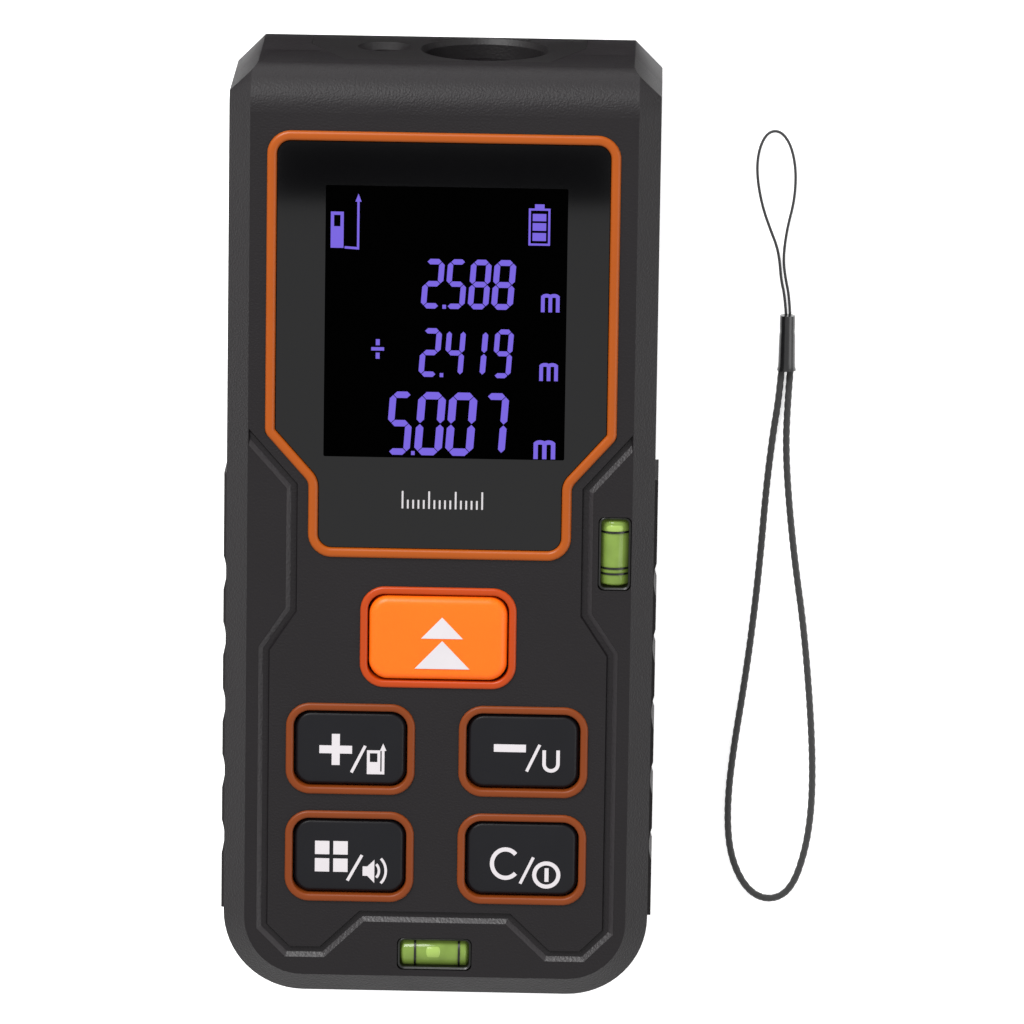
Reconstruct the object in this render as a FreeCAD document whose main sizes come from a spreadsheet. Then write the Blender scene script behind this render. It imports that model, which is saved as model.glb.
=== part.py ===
import FreeCAD, Part
import math
import os
import re
import Sketcher

# Laser distance meter lying on its back, with its hand strap beside it.
# Frame: +Z up out of the key face, +Y towards the laser end, +X to the right of the key face.
# The origin is the middle of the back face. All lengths are in millimetres.

DIMENSIONS = {
    # housing
    "body_length": 117.0,
    "body_width": 52.8,
    "overall_width": 53.6,
    "face_height": 27.0,
    "seam_height": 14.0,
    "shell_wall": 1.8,
    "face_wall": 2.4,
    "foot_corner": 10.0,
    "head_chamfer": 3.4,
    "face_bevel": 2.7,
    "back_round": 2.6,
    "brow_round": 5.4,
    "cavity_head_gap": 5.2,
    "ledge_height": 25.5,
    # groove that frames the neck and the keys
    "groove_width": 1.4,
    "groove_depth": 0.45,
    "groove_start_half": 23.6,
    "groove_start": 11.5,
    "waist_half": 18.9,
    "waist_top": 6.2,
    "waist_foot": -9.0,
    "keys_half": 22.2,
    "keys_top": -14.0,
    "groove_corner": 3.6,
    "groove_foot": -53.6,
    "notch_half": 13.7,
    "notch_top_half": 8.8,
    "notch_top": -48.9,
    # screen
    "trim_half": 21.6,
    "trim_head": 50.9,
    "trim_shoulder": 13.1,
    "trim_neck": 7.0,
    "trim_neck_half": 16.2,
    "trim_foot": -2.4,
    "trim_band": 1.2,
    "trim_bend": 0.379,
    "trim_corner": 2.9,
    "trim_top": 27.4,
    "window_thickness": 1.5,
    "screen_width": 33.0,
    "screen_length": 38.0,
    "screen_centre": 27.4,
    "lcd_thickness": 2.4,
    "backlight_thickness": 1.8,
    # keys
    "key_gap": 0.15,
    "key_travel": 0.5,
    "key_flange": 0.7,
    "ring_band": 0.9,
    "ring_top": 27.35,
    "ring_corner": 3.0,
    "small_key_width": 13.9,
    "small_key_length": 9.5,
    "small_key_top": 27.0,
    "small_key_column": 10.7,
    "upper_row": -26.75,
    "lower_row": -40.5,
    "measure_key_width": 17.2,
    "measure_key_length": 10.7,
    "measure_key_top": 28.0,
    "measure_row": -12.4,
    "switch_top": 21.4,
    "stem_radius": 1.5,
    "flange_play": 0.05,
    "flange_reach": 0.75,
    # boards
    "board_height": 18.0,
    "board_thickness": 1.4,
    "board_half_width": 23.4,
    "board_head": 49.0,
    "board_foot": -55.9,
    "chip_across": -7.0,
    "chip_along": 8.0,
    "chip_size": 10.0,
    "chip_thickness": 1.3,
    "buzzer_across": 16.0,
    "buzzer_along": 4.0,
    "buzzer_radius": 4.6,
    "buzzer_height": 3.2,
    # optics
    "optics_wall": 3.0,
    "optics_low": 2.7,
    "optics_knee": 8.9,
    "optics_high": 19.6,
    "optics_half": 17.0,
    "optics_top_half": 12.6,
    "laser_across": -7.9,
    "laser_up": 10.1,
    "laser_radius": 2.4,
    "receiver_across": 4.5,
    "receiver_up": 11.0,
    "receiver_radius": 7.6,
    "optics_back_gap": 0.05,
    "chassis_half": 12.6,
    "chassis_foot": 18.0,
    "chassis_low": 2.2,
    "chassis_height": 15.7,
    "module_foot": 32.0,
    "module_radius": 3.0,
    "collimator_along": 48.0,
    "collimator_thickness": 2.0,
    "lens_edge": 1.4,
    "lens_crown": 0.8,
    # vials
    "vial_wide": 4.1,
    "vial_long": 9.3,
    "vial_deep": 4.0,
    "vial_top": 26.3,
    "fluid_radius": 1.5,
    "fluid_length": 8.4,
    "bubble_radius": 0.85,
    "side_vial_across": 21.6,
    "side_vial_along": -1.4,
    "foot_vial_along": -52.95,
    # batteries
    "cell_radius": 5.25,
    "cell_length": 44.5,
    "cell_pitch": 11.3,
    "cell_up": 7.4,
    "cell_nub_radius": 1.9,
    "spring_length": 2.0,
    "contact_thickness": 0.4,
    "contact_low": 3.0,
    "contact_height": 8.6,
    "bay_half_width": 11.5,
    "bay_head": -3.6,
    "bay_foot": -52.8,
    "bay_height": 12.9,
    "bay_wall": 1.2,
    "door_thickness": 1.5,
    "door_gap": 0.25,
    "door_ledge": 1.6,
    "door_foot_gap": 0.55,
    "hinge_pin_radius": 0.5,
    "hinge_pin_reach": 1.0,
    # grips and fasteners
    "grip_head": 7.0,
    "grip_foot": -48.6,
    "grip_low": 10.6,
    "grip_tall": 11.8,
    "scallop_pitch": 8.45,
    "scallop_radius": 7.0,
    "scallop_depth": 0.34,
    "screw_across": 19.6,
    "screw_head_along": 48.0,
    "screw_foot_along": -48.0,
    "screw_radius": 1.1,
    "screw_head_radius": 2.3,
    "boss_radius": 3.0,
    # strap pin in the left flank, and the label on the back
    "pin_across": -24.0,
    "pin_along": -41.5,
    "pin_radius": 0.8,
    "pin_low": 4.85,
    "pin_length": 5.1,
    "notch_low": 5.6,
    "notch_height": 3.6,
    "notch_radius": 2.9,
    "label_width": 29.6,
    "label_length": 37.6,
    "label_centre": 25.0,
    "label_gap": 0.2,
    # strap
    "strap_thickness": 0.9,
    "string_thickness": 0.35,
    "sleeve_across": 42.6,
    "sleeve_foot": 16.7,
    "sleeve_length": 7.0,
    "sleeve_foot_radius": 1.2,
    "sleeve_head_radius": 0.95,
}

# Middle line of the strap's thick loop, out of the sleeve, round the far bend and back.
STRAP_ROUTE = [
    (42.0, 16.7), (41.75, 13.0), (41.1, 8.5), (40.4, 1.6), (39.85, -7.1), (39.1, -15.8),
    (38.1, -24.4), (36.95, -32.4), (36.35, -38.6), (36.4, -43.6), (37.0, -47.0), (38.2, -49.8),
    (39.75, -51.6), (41.6, -52.3), (43.5, -51.8), (44.9, -50.1), (45.9, -47.2), (46.6, -43.8),
    (47.0, -39.4), (46.95, -33.4), (46.4, -25.6), (45.45, -16.4), (44.2, -8.3), (43.3, -0.8),
    (42.75, 6.0), (42.8, 11.6), (43.1, 16.7),
]

# Middle line of the thin string loop at the other end of the sleeve.
STRING_ROUTE = [
    (42.9, 23.7), (42.75, 26.0), (42.25, 28.2), (41.95, 30.3), (42.05, 32.4), (42.4, 34.9),
    (43.1, 37.9), (43.3, 40.9), (43.05, 43.4), (42.4, 45.5), (41.3, 46.9), (39.9, 46.9),
    (38.9, 45.5), (38.4, 43.2), (38.5, 40.6), (39.15, 37.4), (40.15, 34.6), (41.1, 32.3),
    (41.5, 30.2), (41.7, 28.0), (42.2, 26.0), (42.4, 23.7),
]

doc = FreeCAD.newDocument("LaserDistanceMeter")
sheet = doc.addObject("Spreadsheet::Sheet", "Dims")
subparts = []


def fill_sheet():
    """One row per driving dimension: its name beside its value."""
    for row, (name, value) in enumerate(DIMENSIONS.items(), 1):
        sheet.set("A%d" % row, name)
        sheet.set("B%d" % row, str(value))
        sheet.setAlias("B%d" % row, name)
    doc.recompute()


def bind(feature, field, formula):
    """Tie one size of a feature to a formula in the sheet's names."""
    named = re.sub(r"[a-z][a-z_]+", lambda word: "Dims." + word.group(), str(formula))
    feature.setExpression(field, named)


def bind_place(feature, place):
    for axis, formula in zip("xyz", place):
        bind(feature, "Placement.Base." + axis, formula)


def new_body(name):
    body = doc.addObject("PartDesign::Body", name)
    body.Label = name
    subparts.append(body)
    return body


def add_box(body, low, size, cut=False):
    """A box from its low corner and its size, added to the body or cut out of it."""
    kind = "PartDesign::SubtractiveBox" if cut else "PartDesign::AdditiveBox"
    box = body.newObject(kind, body.Name + "_box")
    for field, formula in zip(("Length", "Width", "Height"), size):
        bind(box, field, formula)
    bind_place(box, low)
    return box


TURN_TO = {
    "X": FreeCAD.Rotation(FreeCAD.Vector(0, 1, 0), 90),
    "Y": FreeCAD.Rotation(FreeCAD.Vector(1, 0, 0), -90),
    "Z": FreeCAD.Rotation(),
}


def add_cylinder(body, start, radius, height, along="Z", cut=False):
    """A cylinder from the middle of its first end, along one axis."""
    kind = "PartDesign::SubtractiveCylinder" if cut else "PartDesign::AdditiveCylinder"
    cylinder = body.newObject(kind, body.Name + "_cylinder")
    cylinder.Placement = FreeCAD.Placement(FreeCAD.Vector(), TURN_TO[along])
    bind(cylinder, "Radius", radius)
    bind(cylinder, "Height", height)
    bind_place(cylinder, start)
    return cylinder


def add_cone(body, start, first_radius, last_radius, height, along="Z", cut=False):
    kind = "PartDesign::SubtractiveCone" if cut else "PartDesign::AdditiveCone"
    cone = body.newObject(kind, body.Name + "_cone")
    cone.Placement = FreeCAD.Placement(FreeCAD.Vector(), TURN_TO[along])
    bind(cone, "Radius1", first_radius)
    bind(cone, "Radius2", last_radius)
    bind(cone, "Height", height)
    bind_place(cone, start)
    return cone


def add_prism(body, corners, low, depth, plane="XY_Plane", cut=False):
    """A polygon whose corners are formulas, carried a depth out of one of the body's planes."""
    sketch = body.newObject("Sketcher::SketchObject", body.Name + "_sketch")
    support = next(item for item in body.Origin.OriginFeatures if item.Role == plane)
    sketch.AttachmentSupport = (support, "")
    sketch.MapMode = "FlatFace"
    bind(sketch, "AttachmentOffset.Base.z", low)
    count = len(corners)
    turn = 2 * math.pi / count
    ring = [FreeCAD.Vector(math.cos(step * turn), math.sin(step * turn), 0) for step in range(count)]
    for step in range(count):
        sketch.addGeometry(Part.LineSegment(ring[step], ring[(step + 1) % count]), False)
    for step in range(count):
        sketch.addConstraint(Sketcher.Constraint("Coincident", step, 2, (step + 1) % count, 1))
    for step, (across, along) in enumerate(corners):
        for kind, start, formula in (("DistanceX", ring[step].x, across), ("DistanceY", ring[step].y, along)):
            number = sketch.addConstraint(Sketcher.Constraint(kind, -1, 1, step, 1, start))
            bind(sketch, "Constraints[%d]" % number, formula)
    feature = body.newObject("PartDesign::Pocket" if cut else "PartDesign::Pad", body.Name + "_prism")
    feature.Profile = sketch
    feature.Reversed = cut
    bind(feature, "Length", depth)
    doc.recompute()
    return feature


def pick_edges(feature, wanted):
    """Names of a feature's edges that pass a test."""
    doc.recompute()
    return ["Edge%d" % (number + 1) for number, edge in enumerate(feature.Shape.Edges) if wanted(edge)]


def dress(body, kind, wanted, size):
    """Round or chamfer the edges of the body's last feature that pass a test."""
    base = body.Tip
    edges = pick_edges(base, wanted)
    feature = body.newObject("PartDesign::" + kind, body.Name + "_" + kind.lower())
    feature.Base = (base, edges)
    bind(feature, "Radius" if kind == "Fillet" else "Size", size)
    doc.recompute()
    return feature


def is_upright(edge):
    box = edge.BoundBox
    return box.XLength < 1e-6 and box.YLength < 1e-6 and box.ZLength > 1e-6


def lies_at(edge, height):
    box = edge.BoundBox
    return abs(box.ZMin - height) < 1e-4 and abs(box.ZMax - height) < 1e-4


def upright_near(points):
    """A test for upright edges that stand on one of the points."""
    def wanted(edge):
        if not is_upright(edge):
            return False
        spot = edge.Vertexes[0].Point
        return any(math.hypot(spot.x - x, spot.y - y) < 1e-3 for x, y in points)
    return wanted


def add_rounded_box(body, low, size, corner, cut=False):
    """A box with its four upright edges rounded."""
    box = add_box(body, low, size, cut)
    doc.recompute()
    x0, y0 = box.Placement.Base.x, box.Placement.Base.y
    x1, y1 = x0 + box.Length.Value, y0 + box.Width.Value
    bottom = box.Placement.Base.z
    top = bottom + box.Height.Value
    at_corner = upright_near([(x0, y0), (x0, y1), (x1, y0), (x1, y1)])

    def wanted(edge):
        return at_corner(edge) and edge.BoundBox.ZMax > bottom + 1e-3 and edge.BoundBox.ZMin < top - 1e-3
    return dress(body, "Fillet", wanted, corner)


def mirrored(corners):
    """Close a left half outline, listed from its head down, with its mirror image."""
    flipped = [("-(%s)" % across, along) for across, along in reversed(corners)]
    return corners + flipped


def housing_outline(inset):
    """Housing seen from the front: chamfered corners at the head, square ones at the foot."""
    half = "body_width / 2 - %s" % inset
    end = "body_length / 2 - %s" % inset
    bite = "head_chamfer - %s * 0.586" % inset
    return mirrored([
        ("-(%s) + %s" % (half, bite), end),
        ("-(%s)" % half, "%s - (%s)" % (end, bite)),
        ("-(%s)" % half, "-(%s)" % end),
    ])


def value(name):
    return DIMENSIONS[name]


def foot_corners(inset):
    x = value("body_width") / 2 - inset
    y = -value("body_length") / 2 + inset
    return upright_near([(-x, y), (x, y)])


def trim_outline(inset):
    """The screen surround: wide at the head, with a narrower neck at the foot."""
    slant = "%s * trim_bend" % inset
    return mirrored([
        ("-trim_half + %s" % inset, "trim_head - %s" % inset),
        ("-trim_half + %s" % inset, "trim_shoulder + %s" % slant),
        ("-trim_neck_half + %s" % inset, "trim_neck + %s" % slant),
        ("-trim_neck_half + %s" % inset, "trim_foot + %s" % inset),
    ])


def trim_corners(inset):
    half = value("trim_half") - inset
    neck = value("trim_neck_half") - inset
    head = value("trim_head") - inset
    foot = value("trim_foot") + inset
    return upright_near([(-half, head), (half, head), (-neck, foot), (neck, foot)])


def add_trim_shape(body, inset, low, depth, cut=False):
    add_prism(body, trim_outline(inset), low, depth, cut=cut)
    number = value(inset) if inset in DIMENSIONS else float(inset)
    dress(body, "Fillet", trim_corners(number), "trim_corner - %s" % inset)


def add_key_shape(body, low, depth, width, length, corner, cut=False, spot=("0", "0")):
    across, along = spot
    corner_spot = ("%s - (%s) / 2" % (across, width), "%s - (%s) / 2" % (along, length), low)
    return add_rounded_box(body, corner_spot, (width, length, depth), corner, cut)


KEY_SPOTS = {
    "measure": ("0", "measure_row"),
    "plus": ("-small_key_column", "upper_row"),
    "minus": ("small_key_column", "upper_row"),
    "menu": ("-small_key_column", "lower_row"),
    "clear": ("small_key_column", "lower_row"),
}


SCREW_SPOTS = [(across, along) for across in ("-screw_across", "screw_across")
               for along in ("screw_head_along", "screw_foot_along")]


def key_size(name):
    kind = "measure" if name == "measure" else "small"
    return kind + "_key_width", kind + "_key_length", kind + "_key_top"


def make_front_cover():
    body = new_body("front_cover")
    add_prism(body, housing_outline("0"), "seam_height", "face_height - seam_height")
    dress(body, "Fillet", foot_corners(0), "foot_corner")
    top = value("face_height")
    head = value("body_length") / 2
    dress(body, "Fillet", lambda edge: lies_at(edge, top) and edge.BoundBox.YMin > head - 1e-3, "brow_round")

    def rim(edge):
        box = edge.BoundBox
        on_side = abs(abs(box.XMin) - value("body_width") / 2) < 1e-3 or box.YMin < -value("body_length") / 2 + 12
        return lies_at(edge, top) and on_side
    dress(body, "Chamfer", rim, "face_bevel")
    cut_face_groove(body)
    hollow_front_cover(body)
    open_front_cover(body)
    return body


def groove_line(inset):
    """Left half of one edge of the groove, from the flank at its head to the notch at its foot."""
    return [
        ("-groove_start_half", "groove_start + %s * 1.51" % inset),
        ("-waist_half + %s" % inset, "waist_top + %s * 0.38" % inset),
        ("-waist_half + %s" % inset, "waist_foot - %s * 0.3" % inset),
        ("-keys_half + %s" % inset, "keys_top - %s * 0.3" % inset),
        ("-keys_half + %s" % inset, "groove_foot + groove_corner + %s * 0.41" % inset),
        ("-keys_half + groove_corner + %s * 0.41" % inset, "groove_foot + %s" % inset),
        ("-notch_half - %s * 0.41" % inset, "groove_foot + %s" % inset),
        ("-notch_top_half - %s * 0.41" % inset, "notch_top + %s" % inset),
    ]


def cut_face_groove(body):
    """A shallow groove with sloped walls, which frames the neck of the screen and the keys."""
    outer = mirrored(groove_line("0"))
    inner = mirrored(groove_line("groove_width"))
    before = body.Shape.Volume
    groove = add_prism(body, outer + inner[::-1], "face_height", "groove_depth", cut=True)
    groove.Reversed = False
    groove.TaperAngle = -20
    doc.recompute()
    if body.Shape.Volume > before - 1:
        raise RuntimeError("the face groove cuts nothing")


def hollow_front_cover(body):
    """The hollow inside the face, with the four screw posts left standing."""
    add_prism(body, cavity_outline(), "seam_height", "face_height - face_wall - seam_height", cut=True)
    for across, along in SCREW_SPOTS:
        post = (across, along, "seam_height + 0.2")
        add_cylinder(body, post, "boss_radius - 0.3", "face_height - face_wall - seam_height")
        pilot = (across, along, "seam_height")
        add_cylinder(body, pilot, "screw_radius + 0.02", "7", cut=True)


def cavity_outline():
    half = "-body_width / 2 + shell_wall"
    foot = "-body_length / 2 + shell_wall"
    return mirrored([
        (half + " + 1", "body_length / 2 - cavity_head_gap"),
        (half, "body_length / 2 - cavity_head_gap - 2"),
        (half, foot + " + 7"),
        (half + " + 2.4", foot + " + 2.6"),
        (half + " + 7", foot),
    ])


def open_front_cover(body):
    """Openings for the screen, the keys, the vials and the optics."""
    add_trim_shape(body, "0", "ledge_height", "3", cut=True)
    screen_low = ("-screen_width / 2 + 1", "screen_centre - screen_length / 2 + 1", "20")
    add_box(body, screen_low, ("screen_width - 2", "screen_length - 2", "7"), cut=True)
    for name, spot in KEY_SPOTS.items():
        width, length, _ = key_size(name)
        add_key_shape(body, "ledge_height", "3", width + " + 2 * (key_gap + ring_band)",
                      length + " + 2 * (key_gap + ring_band)", "ring_corner", True, spot)
        add_key_shape(body, "20", "6", width + " + 2 * key_gap", length + " + 2 * key_gap",
                      "ring_corner - ring_band", True, spot)
    side = ("side_vial_across - vial_wide / 2", "side_vial_along - vial_long / 2", "20")
    add_rounded_box(body, side, ("vial_wide", "vial_long", "8"), "0.7", cut=True)
    foot = ("-vial_long / 2", "foot_vial_along - vial_wide / 2", "20")
    add_rounded_box(body, foot, ("vial_long", "vial_wide", "8"), "0.7", cut=True)
    cut_optics_gap(body)


def optics_outline(inset):
    """The trapezium of the optics panel, seen from the laser end."""
    return mirrored([
        ("-optics_top_half + %s" % inset, "optics_high - %s" % inset),
        ("-optics_half + %s" % inset, "optics_knee"),
        ("-optics_half + %s" % inset, "optics_low + %s" % inset),
    ])


def cut_optics_gap(body):
    add_prism(body, optics_outline("0"), "-body_length / 2 - 1", "cavity_head_gap + 3", "XZ_Plane", cut=True)


# How far along the battery door's hinge line lies.
DOOR_HINGE = "bay_foot - door_ledge + door_foot_gap + door_thickness / 2"


def make_rear_cover():
    body = new_body("rear_cover")
    add_prism(body, housing_outline("0"), "0", "seam_height")
    dress(body, "Fillet", foot_corners(0), "foot_corner")
    dress(body, "Fillet", lambda edge: lies_at(edge, 0), "back_round")
    add_prism(body, rear_cavity_outline(), "shell_wall", "seam_height", cut=True)
    bay_low = ("-bay_half_width - bay_wall", "bay_foot - bay_wall", "shell_wall - 0.5")
    bay_size = ("2 * (bay_half_width + bay_wall)", "bay_head - bay_foot + 2 * bay_wall",
                "bay_height + bay_wall - shell_wall + 0.5")
    add_box(body, bay_low, bay_size)
    for across, along in SCREW_SPOTS:
        add_cylinder(body, (across, along, "1"), "boss_radius", "seam_height - 1")
    add_box(body, ("-bay_half_width", "bay_foot", "-1"),
            ("2 * bay_half_width", "bay_head - bay_foot", "bay_height + 1"), cut=True)
    add_rounded_box(body, ("-bay_half_width - door_ledge", "bay_foot - door_ledge", "-1"),
                    ("2 * (bay_half_width + door_ledge)", "bay_head - bay_foot + 2 * door_ledge",
                     "door_thickness + 1.05"), "1.6", cut=True)
    for across, along in SCREW_SPOTS:
        add_cylinder(body, (across, along, "-1"), "screw_radius + 0.1", "seam_height + 2", cut=True)
        add_cylinder(body, (across, along, "-1"), "screw_head_radius + 0.15", "3.4", cut=True)
    cut_optics_gap(body)
    cut_strap_notch(body)
    cut_label_recess(body)
    cut_hinge_sockets(body)
    return body


def rear_cavity_outline():
    half = "-body_width / 2 + shell_wall"
    foot = "-body_length / 2 + shell_wall"
    return mirrored([
        (half + " + 4", "body_length / 2 - shell_wall"),
        (half, "body_length / 2 - shell_wall - 4"),
        (half, foot + " + 7"),
        (half + " + 2.4", foot + " + 2.6"),
        (half + " + 7", foot),
    ])


def cut_strap_notch(body):
    """A notch open to the left flank, walled inside, for a steel pin that a hand strap loops round."""
    add_box(body, ("pin_across - 2.2", "pin_along - 4", "notch_low - 1"), ("5.6", "8", "notch_height + 2"))
    add_cylinder(body, ("pin_across", "pin_along", "notch_low"), "notch_radius", "notch_height", cut=True)
    add_cylinder(body, ("pin_across", "pin_along", "pin_low - 0.05"), "pin_radius + 0.02",
                 "pin_length + 0.1", cut=True)


def cut_label_recess(body):
    low = ("-label_width / 2 - label_gap", "label_centre - label_length / 2 - label_gap", "-1")
    size = ("label_width + 2 * label_gap", "label_length + 2 * label_gap", "1.3")
    add_rounded_box(body, low, size, "2", cut=True)


def cut_hinge_sockets(body):
    """Two blind holes beside the foot of the bay, for the pins of the battery door."""
    reach = "bay_half_width + door_ledge + hinge_pin_reach"
    add_cylinder(body, ("-(%s)" % reach, DOOR_HINGE, "door_thickness / 2"), "hinge_pin_radius + 0.05",
                 "2 * (%s)" % reach, "X", cut=True)


def make_strap_pin():
    body = new_body("strap_pin")
    add_cylinder(body, ("pin_across", "pin_along", "pin_low"), "pin_radius", "pin_length")


def make_rear_label():
    body = new_body("rear_label")
    add_rounded_box(body, ("-label_width / 2", "label_centre - label_length / 2", "0.06"),
                    ("label_width", "label_length", "0.22"), "1.8")


def make_grip(name, side):
    """A soft side pad with upright scallops."""
    body = new_body(name)
    thick = "(overall_width - body_width) / 2"
    inner = "body_width / 2" if side > 0 else "-overall_width / 2"
    reach = "overall_width / 2 + scallop_radius - scallop_depth"
    outer = reach if side > 0 else "-(%s)" % reach
    add_box(body, (inner, "grip_foot", "grip_low"), (thick, "grip_head - grip_foot", "grip_tall"))
    first = (outer, "grip_head - scallop_pitch * 1.5", "grip_low - 1")
    notch = add_cylinder(body, first, "scallop_radius", "grip_tall + 2", cut=True)
    doc.recompute()
    row = body.newObject("PartDesign::LinearPattern", name + "_row")
    row.Originals = [notch]
    axis = next(item for item in body.Origin.OriginFeatures if item.Role == "Y_Axis")
    row.Direction = (axis, [""])
    row.Reversed = True
    bind(row, "Length", "scallop_pitch * 4")
    row.Occurrences = 5
    body.Tip = row
    doc.recompute()


def make_screen_parts():
    trim = new_body("screen_trim")
    add_trim_shape(trim, "0", "ledge_height", "trim_top - ledge_height")
    add_trim_shape(trim, "trim_band", "ledge_height - 1", "5", cut=True)
    top = value("trim_top")
    dress(trim, "Chamfer", lambda edge: lies_at(edge, top), "0.25")

    window = new_body("screen_window")
    add_trim_shape(window, "trim_band", "ledge_height", "window_thickness")

    half = "screen_width / 2"
    low_y = "screen_centre - screen_length / 2"
    under_ledge = "face_height - face_wall"
    panel = new_body("lcd_panel")
    add_box(panel, ("-" + half, low_y, under_ledge + " - lcd_thickness"),
            ("screen_width", "screen_length", "lcd_thickness"))
    light = new_body("lcd_backlight")
    add_box(light, ("-" + half, low_y, under_ledge + " - lcd_thickness - backlight_thickness"),
            ("screen_width", "screen_length", "backlight_thickness"))
    carrier = new_body("lcd_carrier")
    carrier_low = "board_height + board_thickness"
    add_box(carrier, ("-%s - 1.2" % half, low_y + " - 1.2", carrier_low),
            ("screen_width + 2.4", "screen_length + 2.4", "%s - (%s)" % (under_ledge, carrier_low)))
    add_box(carrier, ("-" + half, low_y, carrier_low + " + 0.6"),
            ("screen_width", "screen_length", "9"), cut=True)
    clear_screw_posts(carrier, "screw_head_along")


def make_key(name):
    """One key: its cap, a flange that holds it under the face, and the stem that meets the switch."""
    width, length, top = key_size(name)
    body = new_body(name + "_key")
    flange_low = "face_height - face_wall - flange_play - key_flange"
    cap_height = "%s - (%s)" % (top, flange_low)
    add_key_shape(body, flange_low, cap_height, width, length, "ring_corner - ring_band - 0.1")
    crown = value(top)
    dress(body, "Fillet", lambda edge: lies_at(edge, crown), "0.45")
    add_key_shape(body, flange_low, "key_flange", width + " + 2 * flange_reach",
                  length + " + 2 * flange_reach", "2.4")
    stem_low = "switch_top + key_travel + flange_play"
    add_cylinder(body, ("0", "0", stem_low), "stem_radius", "%s + 0.2 - (%s)" % (flange_low, stem_low))
    across, along = KEY_SPOTS[name]
    bind_place(body, (across, along, "0"))


def make_key_ring(name):
    width, length, _ = key_size(name)
    body = new_body(name + "_key_ring")
    add_key_shape(body, "ledge_height", "ring_top - ledge_height", width + " + 2 * (key_gap + ring_band)",
                  length + " + 2 * (key_gap + ring_band)", "ring_corner")
    add_key_shape(body, "ledge_height - 1", "5", width + " + 2 * key_gap", length + " + 2 * key_gap",
                  "ring_corner - ring_band", True)
    top = value("ring_top")
    dress(body, "Chamfer", lambda edge: lies_at(edge, top), "0.2")
    across, along = KEY_SPOTS[name]
    bind_place(body, (across, along, "0"))


def fuse_copies(name, make_one, spots):
    """Several equal solids, which do not touch, as one sub-part."""
    pieces = []
    for number, (across, along) in enumerate(spots):
        piece = make_one("%s_%d" % (name, number + 1))
        pieces += [piece]
        bind_place(piece, (across, along, "0"))
    group = doc.addObject("Part::Compound", name)
    group.Links = pieces
    group.Label = name
    for piece in pieces:
        subparts.remove(piece)
    subparts.append(group)
    doc.recompute()


def make_switch(name):
    body = new_body(name)
    seat = "board_height + board_thickness"
    add_box(body, ("-3", "-3", seat), ("6", "6", "switch_top - 0.5 - (%s)" % seat))
    add_cylinder(body, ("0", "0", "switch_top - 0.7"), "1.7", "0.7")
    return body


def make_screw(name):
    body = new_body(name)
    add_cylinder(body, ("0", "0", "0.5"), "screw_head_radius", "1.9")
    add_cylinder(body, ("0", "0", "2"), "screw_radius", "seam_height + 4")
    add_cylinder(body, ("0", "0", "0"), "0.9", "1.5", cut=True)
    return body


# How far along the flat ends of the cells lie.
CELL_FOOT = "bay_foot + contact_thickness + spring_length"


def make_cell(name):
    body = new_body(name)
    add_cylinder(body, ("0", CELL_FOOT, "cell_up"), "cell_radius", "cell_length - 1", "Y")
    add_cylinder(body, ("0", CELL_FOOT + " + cell_length - 1.2", "cell_up"), "cell_nub_radius", "1.2", "Y")
    return body


def clear_screw_posts(body, along):
    """Bites that leave room for the pair of screw posts at one end of the front cover."""
    for across in ("-screw_across", "screw_across"):
        add_cylinder(body, (across, along, "seam_height"), "boss_radius", "12", cut=True)


def make_boards():
    board = new_body("main_board")
    add_box(board, ("-board_half_width", "board_foot + 7", "board_height"),
            ("2 * board_half_width", "board_head - board_foot - 7", "board_thickness"))
    add_box(board, ("-board_half_width + 6.5", "board_foot", "board_height"),
            ("2 * board_half_width - 13", "8", "board_thickness"))
    for across, along in SCREW_SPOTS:
        add_cylinder(board, (across, along, "board_height - 1"), "boss_radius + 0.1", "4", cut=True)
    processor = new_body("processor_chip")
    add_box(processor, ("chip_across", "chip_along", "board_height - chip_thickness"),
            ("chip_size", "chip_size", "chip_thickness"))
    buzzer = new_body("buzzer")
    add_cylinder(buzzer, ("buzzer_across", "buzzer_along", "board_height - buzzer_height"),
                 "buzzer_radius", "buzzer_height")
    add_cylinder(buzzer, ("buzzer_across", "buzzer_along", "board_height - buzzer_height - 0.8"),
                 "0.8", "2", cut=True)
    gasket = new_body("keypad_gasket")
    sheet_low = "face_height - face_wall - key_flange - 1.5"
    add_box(gasket, ("-19.5", "lower_row - 7.5", sheet_low), ("39", "measure_row - lower_row + 15", "0.6"))
    for across, along in KEY_SPOTS.values():
        add_cylinder(gasket, (across, along, "20"), "stem_radius + 0.4", "5", cut=True)
    clear_screw_posts(gasket, "screw_foot_along")


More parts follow.
